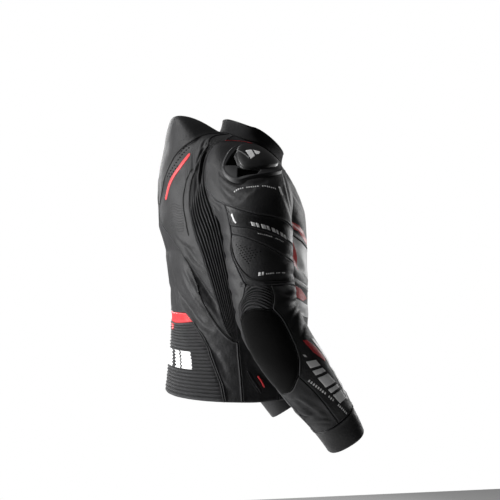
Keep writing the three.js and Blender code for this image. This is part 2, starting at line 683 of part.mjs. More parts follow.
const rearSeam = {
  shoulder: s(5, [SHOULDER_REAR, 0], [0, 40], [9, 64], REAR.shoulder),
  band: s(2, REAR.shoulder, REAR.band),
  strip: s(1, REAR.band, REAR.strip),
  arm: s(4, REAR.strip, [27, 150], [38, 196], REAR.arm),
  elbow: s(3, REAR.arm, [40, 250], [26, 266], REAR.elbow),
  patch: s(4, REAR.elbow, [8, 334], [2, 368], [6, 402], REAR.patch),
  forearm: s(4, REAR.patch, [17, 480], REAR.cuff),
};
const elbowSeam = {
  ribs: s(3, ELBOW.top, [95, 262], ELBOW.ribs),
  patch: s(4, ELBOW.ribs, [99, 306], [101, 344], [93, 388], ELBOW.patch),
  forearm: s(4, ELBOW.patch, [82, 446], ELBOW.cuff),
};
const foreSeam = {
  shoulder: front(5, 0, FORE.shoulder),
  band: front(2, FORE.shoulder, FORE.band),
  strip: front(1, FORE.band, FORE.strip),
  arm: front(4, FORE.strip, FORE.arm),
  forearm: front(11, FORE.arm, CUFF_SEAM),
};
const shoulderSeam = s(11, REAR.shoulder, [57, 93], [90, 101], [140, 107], [FRONT_SEAM, FORE.shoulder]);
const bandSeam = s(11, REAR.band, [44, 112], [70, 125], [110, 143], [FRONT_SEAM, FORE.band]);
const stripSeam = s(11, REAR.strip, [60, 140], [84, 156], [120, 178], [FRONT_SEAM, FORE.strip]);
const armSeam = {
  elbow: s(3, REAR.arm, [70, 235], ELBOW.top),
  fore: s(8, ELBOW.top, [137, 240], [FRONT_SEAM, FORE.arm]),
};
const patchTop = s(6, REAR.elbow, [39, 278], [65, 277], ELBOW.ribs);
const patchFoot = s(6, REAR.patch, [50, 430], ELBOW.patch);
const around = (run) => ({
  rear: s(4, [REAR_SEAM, run], [REAR.cuff[0], run]),
  elbow: s(6, [REAR.cuff[0], run], [ELBOW.cuff[0], run]),
  fore: s(8, [ELBOW.cuff[0], run], [FRONT_SEAM, run]),
  inner: s(10, [FRONT_SEAM, run], [REAR_SEAM + TURN, run]),
});
const cuffSeam = around(CUFF_SEAM);
const cuffEnd = around(CUFF_END);
const innerSeam = (a) => s(cellsOf(Object.values(rearSeam).flat()), [a, 0], [a, CUFF_SEAM]);

const shoulderPlace = between({
  top: capTop(22, SHOULDER_REAR, FRONT_SEAM),
  bottom: shoulderSeam,
  left: rearSeam.shoulder,
  right: foreSeam.shoulder,
});
addPair("shoulder", wall(sleeve, shoulderPlace, [22, 5], { every: { bottom: 2 } }), BLACK_LEATHER);

const armBandPlace = between({
  top: shoulderSeam,
  bottom: bandSeam,
  left: rearSeam.band,
  right: foreSeam.band,
});
addPair("arm_band", wall(sleeve, armBandPlace, [11, 2], {}), BLACK_LEATHER);

const armStripPlace = between({ top: bandSeam, bottom: stripSeam, left: rearSeam.strip, right: foreSeam.strip });
addPair("arm_strip", wall(sleeve, armStripPlace, [11, 2], {}), BLACK_LEATHER);

const armPanelPlace = between({
  top: stripSeam,
  bottom: chain(armSeam.elbow, armSeam.fore),
  left: rearSeam.arm,
  right: foreSeam.arm,
});
addPair("arm_panel", wall(sleeve, armPanelPlace, [11, 4], { sparse: 1 }), BLACK_LEATHER);

const sleeveRearPlace = between({
  top: capTop(4, REAR_SEAM, SHOULDER_REAR),
  bottom: cuffSeam.rear,
  left: innerSeam(REAR_SEAM),
  right: chain(...Object.values(rearSeam)),
});
addPair("sleeve_rear", wall(sleeve, sleeveRearPlace, [4, 23], { sparse: 6 }), BLACK_LEATHER);

const ELBOW_RIBS = 6;
const elbowRibsPlace = between({
  top: armSeam.elbow,
  bottom: patchTop,
  left: rearSeam.elbow,
  right: elbowSeam.ribs,
});
addPair(
  "elbow_ribs",
  wall(sleeve, elbowRibsPlace, [6, 2 * ELBOW_RIBS], {
    every: { top: 2, left: 4, right: 4 },
    backRows: 3,
    outer: ribs(ELBOW_RIBS, 2.4, true),
    inner: thin,
  }),
  STRETCH_CLOTH,
);

const patchPlace = between({ top: patchTop, bottom: patchFoot, left: rearSeam.patch, right: elbowSeam.patch });
addPair("elbow_patch", wall(sleeve, patchPlace, [6, 4], { sparse: 1 }), PILE);

const forearmRearPlace = between({
  top: patchFoot,
  bottom: cuffSeam.elbow,
  left: rearSeam.forearm,
  right: elbowSeam.forearm,
});
addPair("forearm_rear", wall(sleeve, forearmRearPlace, [6, 4], { sparse: 1 }), BLACK_LEATHER);

const forearmFrontPlace = between({
  top: armSeam.fore,
  bottom: cuffSeam.fore,
  left: chain(...Object.values(elbowSeam)),
  right: foreSeam.forearm,
});
addPair("forearm_front", wall(sleeve, forearmFrontPlace, [8, 11], { sparse: 1 }), BLACK_LEATHER);

const sleeveInnerPlace = between({
  top: capTop(10, FRONT_SEAM, REAR_SEAM + TURN),
  bottom: cuffSeam.inner,
  left: chain(...Object.values(foreSeam)),
  right: innerSeam(REAR_SEAM + TURN),
});
addPair("sleeve_inner", wall(sleeve, sleeveInnerPlace, [10, 23], { inner: thin, sparse: 6 }), STRETCH_CLOTH);

const cuffPlace = between({
  top: chain(...Object.values(cuffSeam)),
  bottom: chain(...Object.values(cuffEnd)),
  left: s(1, [REAR_SEAM, CUFF_SEAM], [REAR_SEAM, CUFF_END]),
  right: s(1, [REAR_SEAM + TURN, CUFF_SEAM], [REAR_SEAM + TURN, CUFF_END]),
});
addPair("cuff", wall(sleeve, cuffPlace, [28, 1], {}), BLACK_LEATHER);

// ---------------------------------------------------------------- shoulder cups
const CUP = { a: 91, run: 37, halfA: 41, halfRun: 28, skew: -9, cells: 8 };
const CUP_BASE = { height: 4.2, rim: 1.6 };
const CUP_SHELL = { height: 9, rim: 3, inset: 1 }; // the shell keeps this many cells in from the base's edge
/** The unit square drawn out to a rounded disc and laid on the shoulder. */
const cupPlace = (u, v) => {
  const [x, y] = [2 * u - 1, 2 * v - 1];
  const [p, q] = [x * Math.sqrt(1 - (y * y) / 2), y * Math.sqrt(1 - (x * x) / 2)];
  return { a: CUP.a + CUP.halfA * p, l: CUP.run + CUP.halfRun * q + CUP.skew * p, far: Math.hypot(p, q) };
};
/** The shell stands on the same points as the base, fewer of them. */
const shellPlace = (u, v) => {
  const edge = CUP_SHELL.inset / CUP.cells;
  return cupPlace(lerp(edge, 1 - edge, u), lerp(edge, 1 - edge, v));
};
const baseTop = LAID_ON + CUP_BASE.height;
const shellFoot = baseTop + SHELL_GAP;
const shellCells = CUP.cells - 2 * CUP_SHELL.inset;
addPair(
  "cup_base",
  wall(sleeve, cupPlace, [CUP.cells, CUP.cells], {
    gap: 0,
    backAsFine: true,
    inner: () => LAID_ON,
    outer: ({ far }) => (far > 0.99 ? LAID_ON + CUP_BASE.rim : baseTop),
  }),
  RUBBER,
);
addPair(
  "cup_shell",
  wall(sleeve, shellPlace, [shellCells, shellCells], {
    gap: 0,
    backAsFine: true,
    inner: () => shellFoot,
    outer: ({ far }) => shellFoot + lerp(CUP_SHELL.rim, CUP_SHELL.height, Math.sqrt(Math.max(0, 1 - far * far))),
  }),
  SHELL,
);

// ---------------------------------------------------------------- front zip
const tapeTop = b(1, [ZIP_EDGE, 0], [TURN - ZIP_EDGE, 0]);
const tapeEdge = chain(...Object.values(zipEdge));
const farTapeEdge = tapeEdge.map(({ cells, at }) => ({ cells, at: (t) => ({ a: TURN - at(t).a, l: at(t).l }) }));
const tapePlace = between({
  top: tapeTop,
  bottom: b(1, [ZIP_EDGE, HEM], [TURN - ZIP_EDGE, HEM]),
  left: tapeEdge,
  right: farTapeEdge,
});
add("zip_tape", wall(body, tapePlace, [1, cellsOf(tapeEdge)], { inner: thin }), STRETCH_CLOTH);

const SLIDER = { level: -16, half: 4.6, length: 12, thick: 1.8, lug: 1.5, lugHalf: 2.4, lugTop: 5.6, lugUp: 2.6 };
const BAR = { r: 1, up: 2.6, out: 4.2, sides: 16 }; // the bar on which the pull tab hangs
const PULL = { eyeR: 2, holeR: 1.1, half: 2.7, length: 30, thick: 1.6 };
/** Sets a solid drawn with x across, y up the zip and z outward onto the tape's face. */
function onZip(geometry) {
  const spot = body.at(180, SLIDER.level);
  const outward = body.normal(180, SLIDER.level);
  const across = vec(1, 0, 0);
  const up = outward.clone().cross(across).normalize();
  const frame = new THREE.Matrix4().makeBasis(across, up, outward);
  return geometry.applyMatrix4(frame.setPosition(spot.addScaledVector(outward, LAID_ON)));
}
/** An outline drawn up the zip and outward, made as wide across as asked. */
function acrossZip(shape, half) {
  const cut = new THREE.ExtrudeGeometry(shape, { depth: 2 * half, bevelEnabled: false, curveSegments: BAR.sides / 2 });
  cut.applyMatrix4(new THREE.Matrix4().makeBasis(vec(0, 1, 0), vec(0, 0, 1), vec(1, 0, 0)));
  return cut.translate(-half, 0, 0);
}
const box = (x, y, z, [cx, cy, cz]) => new THREE.BoxGeometry(x, y, z).translate(cx, cy, cz);
/** Joins solids that overlap into one. */
function joined(...geometries) {
  const bodies = geometries.map((geometry) => {
    const bare = new THREE.BufferGeometry().setAttribute("position", (geometry.index ? geometry.toNonIndexed() : geometry).getAttribute("position"));
    const welded = mergeVertices(bare, 1e-4);
    const mesh = { numProp: 3, vertProperties: welded.attributes.position.array, triVerts: new Uint32Array(welded.index.array) };
    return new kernel.Manifold(new kernel.Mesh(mesh));
  });
  const whole = kernel.Manifold.union(bodies).getMesh();
  return new THREE.BufferGeometry()
    .setAttribute("position", new THREE.BufferAttribute(new Float32Array(whole.vertProperties), 3))
    .setIndex(Array.from(whole.triVerts));
}
const lug = (way) =>
  box(SLIDER.lug, 2 * SLIDER.lugHalf, SLIDER.lugTop, [way * (SLIDER.half - SLIDER.lug / 2), SLIDER.lugUp, SLIDER.lugTop / 2]);
const plate = box(2 * SLIDER.half, SLIDER.length, SLIDER.thick, [0, 0, SLIDER.thick / 2]);
const round = new THREE.Shape().absarc(BAR.up, BAR.out, BAR.r, 0, 2 * Math.PI);
add("zip_slider", onZip(joined(plate, lug(-1), lug(1), acrossZip(round, SLIDER.half - SLIDER.lug / 2))), ZIP_METAL);

const tab = new THREE.Shape();
const join = Math.asin(PULL.thick / 2 / PULL.eyeR);
tab.absarc(BAR.up, BAR.out, PULL.eyeR, Math.PI + join, 3 * Math.PI - join);
tab.lineTo(BAR.up - PULL.length, BAR.out + PULL.thick / 2);
tab.lineTo(BAR.up - PULL.length, BAR.out - PULL.thick / 2);
tab.holes.push(new THREE.Path().absarc(BAR.up, BAR.out, PULL.holeR, 0, 2 * Math.PI, true));
add("zip_pull", onZip(acrossZip(tab, PULL.half)), ZIP_METAL);

export default group;
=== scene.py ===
"""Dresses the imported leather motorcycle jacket: soft leather panels with creases, seams and stitching, ribbed
stretch panels, shoulder cups, a pile elbow patch, collar and zip. Lengths below are millimetres until a mesh is
made; the front faces -Y, +X is the wearer's left and the origin lies between the shoulders."""
import json
import math

import bpy
import numpy as np
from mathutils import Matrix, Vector

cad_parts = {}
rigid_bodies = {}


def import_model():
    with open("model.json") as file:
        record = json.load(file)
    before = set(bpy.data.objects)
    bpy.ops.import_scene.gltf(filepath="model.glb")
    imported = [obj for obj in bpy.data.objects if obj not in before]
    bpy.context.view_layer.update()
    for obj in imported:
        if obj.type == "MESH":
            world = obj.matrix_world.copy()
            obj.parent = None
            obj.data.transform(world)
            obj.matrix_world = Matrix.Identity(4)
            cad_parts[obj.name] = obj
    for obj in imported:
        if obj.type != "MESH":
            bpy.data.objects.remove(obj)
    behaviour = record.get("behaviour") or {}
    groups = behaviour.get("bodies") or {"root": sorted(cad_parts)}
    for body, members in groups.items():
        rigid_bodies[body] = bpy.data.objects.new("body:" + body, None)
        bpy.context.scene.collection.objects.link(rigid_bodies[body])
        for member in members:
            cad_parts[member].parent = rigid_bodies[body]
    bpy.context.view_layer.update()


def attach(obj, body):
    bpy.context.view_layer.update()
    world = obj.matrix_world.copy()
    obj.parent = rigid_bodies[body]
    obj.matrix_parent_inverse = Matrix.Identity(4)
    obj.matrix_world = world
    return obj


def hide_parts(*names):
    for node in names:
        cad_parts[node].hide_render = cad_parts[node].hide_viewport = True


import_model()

MM = 0.001
TURN = 360.0
SIDES = ("L", "R")

# ------------------------------------------------------------------ sizes shared with the solids
HEM = -556.0
CUFF_SEAM, CUFF_END, CAP_RUN = 544.0, 610.0, 100.0
COLLAR_HEIGHT, COLLAR_OPEN = 34.0, 177.0
LEATHER, STRETCH = 2.0, 1.6
ZIP_EDGE, REAR_SEAM, FRONT_SEAM = 177.6, -50.0, 210.0

# level, half, sideY, sideZ, frontY, frontZ, backY, backZ, square
BODY_RINGS = [
    [-556, 188, 2, -556, -150, -550, 160, -553, 0.88],
    [-500, 180, 1, -500, -151, -498, 153, -499, 0.88],
    [-430, 173, 0, -430, -152, -430, 147, -430, 0.88],
    [-340, 176, 2, -340, -152, -343, 150, -336, 0.86],
    [-265, 180, 4, -264, -150, -276, 158, -258, 0.84],
    [-205, 182, 6, -203, -147, -222, 161, -192, 0.82],
    [-150, 180, 9, -146, -145, -172, 160, -128, 0.8],
    [-100, 172, 12, -92, -134, -128, 154, -66, 0.8],
    [-55, 152, 12, -45, -118, -92, 136, -8, 0.82],
    [-22, 118, 6, -16, -106, -66, 100, 22, 0.9],
    [0, 80, -14, 0, -98, -48, 42, 26, 1],
]
# height, then the same columns
COLLAR_RINGS = [
    [0, 80, -14, 0, -98, -48, 42, 26, 1],
    [16, 75, -17, 16, -99, -36, 36, 40, 1],
    [34, 74, -20, 33, -103, -20, 33, 56, 1],
]
# level, spread, outY, outZ
HUMP = [
    [-246, 40, 0, 0], [-222, 40, 7, 1], [-196, 39, 14, 3], [-150, 36, 18, 5], [-100, 32, 21, 11],
    [-65, 34, 22, 21],
    [-48, 35, 28, 35], [-35, 35, 29, 46], [-22, 32, 20, 40], [-10, 28, 13, 25], [0, 24, 0, 0],
]
# bearing, level, swing
ARMHOLE = [
    [-90, -220, 0], [-68, -202, 12], [-38, -158, 24], [0, -98, 33], [35, -38, 30], [60, -13, 20], [90, -7, 0],
    [120, -13, -22], [145, -38, -30], [180, -98, -33], [218, -158, -24], [248, -202, -12],
]
# run, out, y, z, across, fore, lift
SLEEVE_RINGS = [
    [100, 243, 9, -200, 62, 73, 24], [170, 254, 6, -259, 61, 69, 12], [240, 263, 0, -321, 59, 66, 4],
    [300, 270, -10, -375, 60, 65, 0], [350, 275, -32, -422, 60, 64, 0], [420, 276, -72, -482, 57, 61, 0],
    [500, 270, -120, -547, 51, 54, 0], [560, 263, -152, -592, 45, 47, 0], [610, 258, -176, -630, 40, 43, 0],
]
SLEEVE_SQUARE = 0.95
CAP_FORE, CAP_DROP, CAP_UNDER, CAP_LEAVE = 0.35, 0.32, 0.35, 1.05

# The main creases, as in the solids: from one chart point to another, width and height (below nought is a trough).
BODY_FOLDS = [
    [35, -272, 62, -352, 12, -7], [27, -300, 54, -376, 9, 4], [16, -335, 44, -384, 11, -6],
    [4, -296, 16, -350, 10, -4], [30, -238, 50, -262, 9, -4], [118, -240, 140, -270, 12, -5],
    [120, -400, 150, -440, 13, -5], [92, -250, 104, -330, 11, -5],
]
SLEEVE_FOLDS = [
    [-24, 60, 16, 88, 12, -5], [110, 262, 160, 236, 12, -5], [112, 306, 172, 272, 12, -5],
    [30, 466, 70, 500, 10, -4], [206, 290, 262, 270, 12, -6], [204, 345, 266, 318, 11, -5],
]
# Finer buckles beside them: the same columns, with the bow of the line in millimetres before the width.
BODY_BUCKLES = [
    [35, -262, 64, -356, 6, 5, -2.6], [31, -284, 58, -366, 5, 5, 2.0], [40, -300, 66, -380, -4, 6, -1.8],
    [22, -346, 57, -406, 8, 6, -3.0], [26, -362, 52, -412, 4, 5, 1.8], [12, -318, 34, -372, 5, 6, -2.2],
    [6, -300, 20, -356, 4, 5, 1.4], [24, -222, 44, -244, 4, 5, -1.6], [34, -236, 56, -280, 6, 6, -2.2],
    [42, -420, 62, -452, 6, 6, -1.6], [54, -440, 70, -500, -5, 7, -1.5], [60, -486, 74, -536, 4, 6, -1.3],
    [38, -62, 44, -98, 2, 5, -2.4], [36, -84, 39, -118, 2, 4, -1.4],
    [54, -60, 51.5, -114, 3, 3.6, -5.5], [50, -40, 47.5, -96, 3, 4.5, -2.6], [47, -104, 46, -140, -2, 4, -2.2],
    [44, -30, 49, -62, 2, 5, -2.0],
    [84, -236, 90, -318, 6, 6, -2.6], [96, -262, 106, -350, 5, 7, -2.4], [84, -360, 104, -398, 7, 7, -2.2],
    [86, -404, 106, -446, -6, 7, -2.0], [88, -470, 102, -520, 5, 8, -1.6],
    [116, -150, 138, -176, 6, 7, -2.4], [120, -176, 146, -196, 6, 6, -2.0], [132, -96, 150, -120, 5, 7, -1.6],
    [118, -350, 142, -372, 5, 7, -2.0], [126, -452, 158, -480, 6, 8, -2.2], [122, -500, 150, -524, 5, 8, -1.8],
]
SLEEVE_BUCKLES = [
    [34, 52, 100, 68, -12, 3.2, -2.8], [31, 58, 80, 78, -9, 3, -2.6], [29, 64, 66, 84, -7, 3, -2.2],
    [6, 20, 24, 48, 4, 5, -1.8], [140, 40, 186, 78, -14, 6, -2.2],
    [-19, 41, -15, 51, 0, 4.5, -9.0], [0, 50, 11, 76, -4, 3, -3.4], [-7, 42, 4, 66, -4, 3, 2.2],
    [40, 226, 78, 233, 0, 4, -4.0], [16, 484, 42, 500, -4, 3, -2.4], [24, 477, 48, 492, -4, 3, 1.6],
    [132, 70, 196, 92, -8, 6, -1.6],
    [-30, 96, 18, 128, 6, 7, -2.2], [-34, 140, 20, 168, 6, 8, -2.2], [-20, 190, 28, 214, 5, 7, -2.0],
    [-30, 230, 22, 244, 5, 7, -2.4], [-34, 268, 12, 282, 4, 6, -2.6], [-36, 300, 4, 308, 3, 7, -2.2],
    [120, 196, 184, 176, 8, 8, -2.0], [116, 228, 190, 212, 6, 7, -2.2], [108, 250, 176, 258, -6, 6, -2.4],
    [118, 282, 196, 276, 5, 6, -2.8], [110, 330, 190, 300, 8, 6, -2.4], [120, 356, 184, 334, 6, 6, -1.8],
    [26, 452, 52, 478, 8, 6, -2.8], [40, 448, 60, 506, -7, 7, -2.2], [58, 456, 78, 520, 6, 8, -1.8],
    [22, 500, 74, 520, 5, 5, -2.0], [26, 516, 70, 530, 4, 4, -1.6], [150, 440, 190, 470, 5, 8, -2.0],
    [146, 500, 196, 516, 4, 6, -1.6], [206, 252, 300, 262, 6, 6, -2.6], [206, 306, 300, 300, 5, 6, -3.0],
    [214, 372, 300, 352, 6, 7, -2.2], [216, 430, 290, 424, 5, 8, -1.8], [220, 190, 300, 204, 6, 8, -2.0],
    [-46, 350, -4, 344, 4, 7, -2.0], [-44, 410, 2, 420, 5, 8, -1.8], [-44, 480, 6, 474, 4, 7, -1.8],
]


# ------------------------------------------------------------------ reading the tables
def through(rows, x):
    """The smooth curve through a table's rows: between two rows a cubic whose slope at each row is the
    mean of its
    neighbours' slopes, weighted by the nearer; past either end it runs straight on."""
    rows, x = np.asarray(rows, float), np.asarray(x, float)
    at, values = rows[:, 0], rows[:, 1:]
    gap = np.diff(at)
    rise = np.diff(values, axis=0) / gap[:, None]
    share = (gap[1:] / (gap[:-1] + gap[1:]))[:, None]
    slope = np.vstack([rise[:1], rise[:-1] * share + rise[1:] * (1 - share), rise[-1:]])
    inside = np.clip(x, at[0], at[-1])
    i = np.clip(np.searchsorted(at, inside, side="right") - 1, 0, len(gap) - 1)
    h, t = gap[i][..., None], ((inside - at[i]) / gap[i])[..., None]
    curve = (
        (2 * t**3 - 3 * t**2 + 1) * values[i]
        + (t**3 - 2 * t**2 + t) * h * slope[i]
        + (3 * t**2 - 2 * t**3) * values[i + 1]
        + (t**3 - t**2) * h * slope[i + 1]
    )
    return curve + (x - inside)[..., None] * np.where((x < at[0])[..., None], slope[0], slope[-1])


def unit(v):
    """Each vector divided by its length."""
    return v / np.maximum(np.linalg.norm(v, axis=-1, keepdims=True), 1e-12)


def power(x, p):
    """The sign of x times its size to the power p."""
    return np.sign(x) * np.abs(x) ** p


def steps(low, high, x):
    """Rises smoothly from nought at low to one at high."""
    t = np.clip((x - low) / (high - low), 0, 1)
    return t * t * (3 - 2 * t)


def folds(rows, degree, a, l):
    """Height of the main creases: each is a bell across its line, strongest in the middle of its length."""
    height = np.zeros(np.broadcast(a, l).shape)
    for a0, l0, a1, l1, width, deep in rows:
        along, down = (a1 - a0) * degree, l1 - l0
        x, y = (a - a0) * degree, l - l0
        t = np.clip((x * along + y * down) / (along**2 + down**2), 0, 1)
        away = np.hypot(x - t * along, y - t * down) / width
        height += deep * np.exp(-away * away) * np.sin(np.pi * (0.15 + 0.7 * t))
    return height


def buckles(rows, degree, a, l, side):
    """Height of the fine creases: a bell across a bowed line, with a lower shoulder of the other sign on
    each side.
    The wearer's left has the same ones shifted unevenly, so the two sides don't match."""
    drift = np.random.default_rng(7)
    height = np.zeros(np.broadcast(a, l).shape)
    for a0, l0, a1, l1, bow, width, deep in rows:
        da, dl, more = drift.uniform(-1, 1, 3) * (side == "L")
        shift_a, shift_l = 5 * da / degree, 9 * dl
        along, down = (a1 - a0) * degree, l1 - l0
        x, y = (a - a0 - shift_a) * degree, l - l0 - shift_l
        long = math.hypot(along, down)
        t = (x * along + y * down) / long**2
        across = (x * down - y * along) / long - bow * (1 + 0.4 * more) * (1 - (2 * t - 1) ** 2)
        past = np.maximum(0, np.abs(t - 0.5) - 0.5) * long
        away = np.hypot(across, past) / width
        bell = np.exp(-away * away) - 0.3 * np.exp(-((away - 1.7) ** 2) * 1.6)
        fade = np.exp(-((past / (1.6 * width)) ** 2)) * (0.45 + 0.55 * np.sin(np.pi * np.clip(t, 0, 1)))
        height += deep * (1 + 0.25 * more) * bell * fade
    return height


def slump(a, l, degree):
    """The slight unevenness of soft leather over a body: a few long waves of different length and slant,
    added."""
    x, y = a * degree, l
    waves = [(61, 0.3, 0.0, 0.34), (43, 1.1, 1.7, 0.26), (29, 2.2, 0.6, 0.18), (83, 1.7, 2.9, 0.4)]
    return sum(high * np.sin((x * math.cos(turn) + y * math.sin(turn)) / long * 2 * np.pi + phase)
               for long, turn, phase, high in waves)


# ------------------------------------------------------------------ charts
def ring(rows, a, level):
    """A rounded oval whose front and back points may stand lower or higher than its sides: x is the sine
    to a power
    times the half width, and y and z go from the side's to the end's by the cosine to that power."""
    half, side_y, side_z, front_y, front_z, back_y, back_z, square = np.moveaxis(through(rows, level), -1, 0)
    s, c = np.sin(np.radians(a)), np.cos(np.radians(a))
    w = np.abs(c) ** square
    y, z = np.where(c > 0, back_y, front_y), np.where(c > 0, back_z, front_z)
    return np.stack([power(s, square) * half, side_y + (y - side_y) * w, side_z + (z - side_z) * w**1.3], -1)


def normals(at, a, l, low, high, way):
    """Unit normals of a chart, from its slopes round and down it; way is 1 where the second coordinate
    grows down."""
    around = at(a + 0.5, l) - at(a - 0.5, l)
    down = (at(a, np.minimum(l + 1, high)) - at(a, np.maximum(l - 1, low))) * way
    return unit(np.cross(around, down))


def body_plain(a, level):
    """A ring of the body, with the hump's lift added round the centre back as a crown that runs out at its
    spread."""
    a, level = np.broadcast_arrays(np.asarray(a, float), np.asarray(level, float))
    spread, out_y, out_z = np.moveaxis(through(HUMP, np.maximum(level, HUMP[0][0])), -1, 0)
    crown = np.maximum(0, 1 - np.abs(a / spread) ** 2.2) ** 1.5
    return ring(BODY_RINGS, a, level) + crown[..., None] * np.stack([0 * a, out_y, out_z], -1)


def armhole_point(bearing):
    """Degrees and level of the armhole at a bearing round the sleeve."""
    turned = [[row[0] + turn, *row[1:]] for turn in (-TURN, 0, TURN) for row in ARMHOLE]
    level, swing = np.moveaxis(through(turned, bearing), -1, 0)
    return np.stack([90 - swing, level], -1)


def tube(phi, run):
    """The sleeve below its cap: an oval across the centre line, its outer side lifted; with the line's
    direction."""
    rows = through(SLEEVE_RINGS, run)
    centre, across, fore, lift = rows[..., :3], rows[..., 3:4], rows[..., 4:5], np.radians(rows[..., 5:6])
    line_at = lambda r: through(SLEEVE_RINGS, np.clip(r, CAP_RUN, CUFF_END))[..., :3]
    way = unit(line_at(run + 0.5) - line_at(run - 0.5))
    outward = unit(np.array([1.0, 0, 0]) - way * way[..., :1])
    back = np.cross(outward, way)
    outward = outward * np.cos(lift) - way * np.sin(lift)
    s, c = power(np.sin(np.radians(phi)), SLEEVE_SQUARE), power(np.cos(np.radians(phi)), SLEEVE_SQUARE)
    return centre + outward * across * s[..., None] + back * fore * c[..., None], way


def sleeve_plain(phi, run):
    """The tube, and above it a cubic from the armhole to the tube's top that leaves outward and arrives
    along it."""
    phi, run = np.broadcast_arrays(np.asarray(phi, float), np.asarray(run, float))
    below = tube(phi, np.maximum(run, CAP_RUN))[0]
    spot = armhole_point(phi)
    start = body_plain(spot[..., 0], spot[..., 1])
    top, way = tube(phi, np.full_like(phi, CAP_RUN))
    s, c = np.sin(np.radians(phi)), np.cos(np.radians(phi))
    leave = unit(np.stack([np.ones_like(s), CAP_FORE * c, -CAP_DROP - CAP_UNDER * np.maximum(0, -s)], -1))
    far = np.linalg.norm(start - top, axis=-1, keepdims=True)
    t = (run / CAP_RUN)[..., None]
    cap = (
        (2 * t**3 - 3 * t**2 + 1) * start
        + (t**3 - 2 * t**2 + t) * far * CAP_LEAVE * leave
        + (3 * t**2 - 2 * t**3) * top
        + (t**3 - t**2) * far * way
    )
    return np.where(t < 1, cap, below)


def body(a, l, side=None):
    """The body's surface with all its creases, which stay away from the centre lines, the neck and the
    armhole."""
    a, l = np.broadcast_arrays(np.asarray(a, float), np.asarray(l, float))
    far = np.abs(a)
    height = folds(BODY_FOLDS, body.degree, far, l)
    if side:
        wearer_left = buckles(BODY_BUCKLES, body.degree, far, l, "L")
        wearer_right = buckles(BODY_BUCKLES, body.degree, far, l, "R")
        left = a > 0 if side == "both" else side == "L"
        fine = np.where(left, wearer_left, wearer_right) + slump(far, l, body.degree)
        height = height + fine * steps(2, 9, far) * steps(2, 9, 180 - far) * steps(-16, -40, l)
    smooth = normals(body_plain, a, l, HEM, 0, -1)
    return body_plain(a, l) + smooth * height[..., None]


def sleeve(phi, run, side=None):
    """The sleeve's surface with all its creases, which fade at the armhole and the cuff's end."""
    phi, run = np.broadcast_arrays(np.asarray(phi, float), np.asarray(run, float))
    height = folds(SLEEVE_FOLDS, sleeve.degree, phi, run)
    if side:
        fine = buckles(SLEEVE_BUCKLES, sleeve.degree, phi, run, side)
        wave = 2 * np.pi / TURN
        fine = fine + 0.5 * np.sin(3 * phi * wave + run / 23) + 0.35 * np.sin(5 * phi * wave - run / 13 + 1)
        height = height + fine * steps(4, 24, run)
    smooth = normals(sleeve_plain, phi, run, 0, CUFF_END, 1)
    return sleeve_plain(phi, run) + smooth * height[..., None]


def collar(a, height, side=None):
    """The collar's rings."""
    a, height = np.broadcast_arrays(np.asarray(a, float), np.asarray(height, float))
    return ring(COLLAR_RINGS, a, height)


body.degree, sleeve.degree, collar.degree = 2.9, 1.15, 1.3  # mm to a degree, for lengths along seam lines
body.low, body.high, body.way = HEM, 0, -1
sleeve.low, sleeve.high, sleeve.way = 0, CUFF_END, 1
collar.low, collar.high, collar.way = 0, COLLAR_HEIGHT, -1


# ------------------------------------------------------------------ seam lines
def line(chart, cells, *points):
    """A seam line: the smooth curve through chart points, read from 0 to 1 by its length; cells share out
    a chain."""
    points = np.array(points, float)
    gaps = np.hypot(np.diff(points[:, 0]) * chart.degree, np.diff(points[:, 1]))
    lengths = np.concatenate([[0], np.cumsum(gaps)])
    rows = np.column_stack([lengths, points])
    return [(cells, lambda t: through(rows, lengths[-1] * t))]


def armhole(cells, start, end):
    """The stretch of the armhole between two bearings, as a seam line of the body."""
    return [(cells, lambda t: armhole_point(start + (end - start) * t))]


def cap_top(cells, start, end):
    """The same stretch as a seam line of the sleeve."""
    return [(cells, lambda t: np.stack([start + (end - start) * t, 0 * t], -1))]


def mirrored(chain):
    return [(cells, lambda t, at=at: at(t) * [-1, 1]) for cells, at in chain]


def reversed_line(chain):
    return [(cells, lambda t, at=at: at(1 - t)) for cells, at in chain[::-1]]


def beyond_front(chain):
    """The same line on the far side of the centre front."""
    return [(cells, lambda t, at=at: at(t) * [-1, 1] + [TURN, 0]) for cells, at in chain]


def read(chain, t):
    """Chart points of a chain of lines at shares t of its cells."""
    ends = np.cumsum([cells for cells, _ in chain])
    x = np.asarray(t, float) * ends[-1]
    out = np.empty(x.shape + (2,))
    for k, (cells, at) in enumerate(chain):
        start = ends[k] - cells
        here = (x >= start) & ((x <= ends[k]) if k == len(chain) - 1 else (x < ends[k]))
        out[here] = at((x[here] - start) / cells)
    return out


def between(top, bottom, left, right):
    """The patch between four seam lines: the blend across plus the blend down, less the blend of the
    corners."""
    ends = np.array([0.0, 1.0])
    (top_left, top_right), (foot_left, foot_right) = read(top, ends), read(bottom, ends)

    def place(u, v):
        U, V = u[..., None], v[..., None]
        corners = (1 - V) * ((1 - U) * top_left + U * top_right) + V * ((1 - U) * foot_left + U * foot_right)
        return (1 - V) * read(top, u) + V * read(bottom, u) + (1 - U) * read(left, v) + U * read(right,
                                                                                                 v) - corners
    return place


b = lambda cells, *points: line(body, cells, *points)
s = lambda cells, *points: line(sleeve, cells, *points)
HUMP_END, HUMP_TIP, BACK_SEAM, BAND_TOP = -160, 1.5, -186, -376
BAND_TURN, BAND_END, GUSSET_FOOT, GUSSET_CORNER = [28, -374], [37, -391], [75, -427], [79, -430]
HIP, RIBS_END, SIDE_END = 83, 70, 107
arm_spot = lambda bearing: list(armhole_point(float(bearing)))
neck = lambda cells, start, end: b(cells, [start, 0], [end, 0])
zip_side = lambda cells, start, end: b(cells, [ZIP_EDGE, start], [ZIP_EDGE, end])

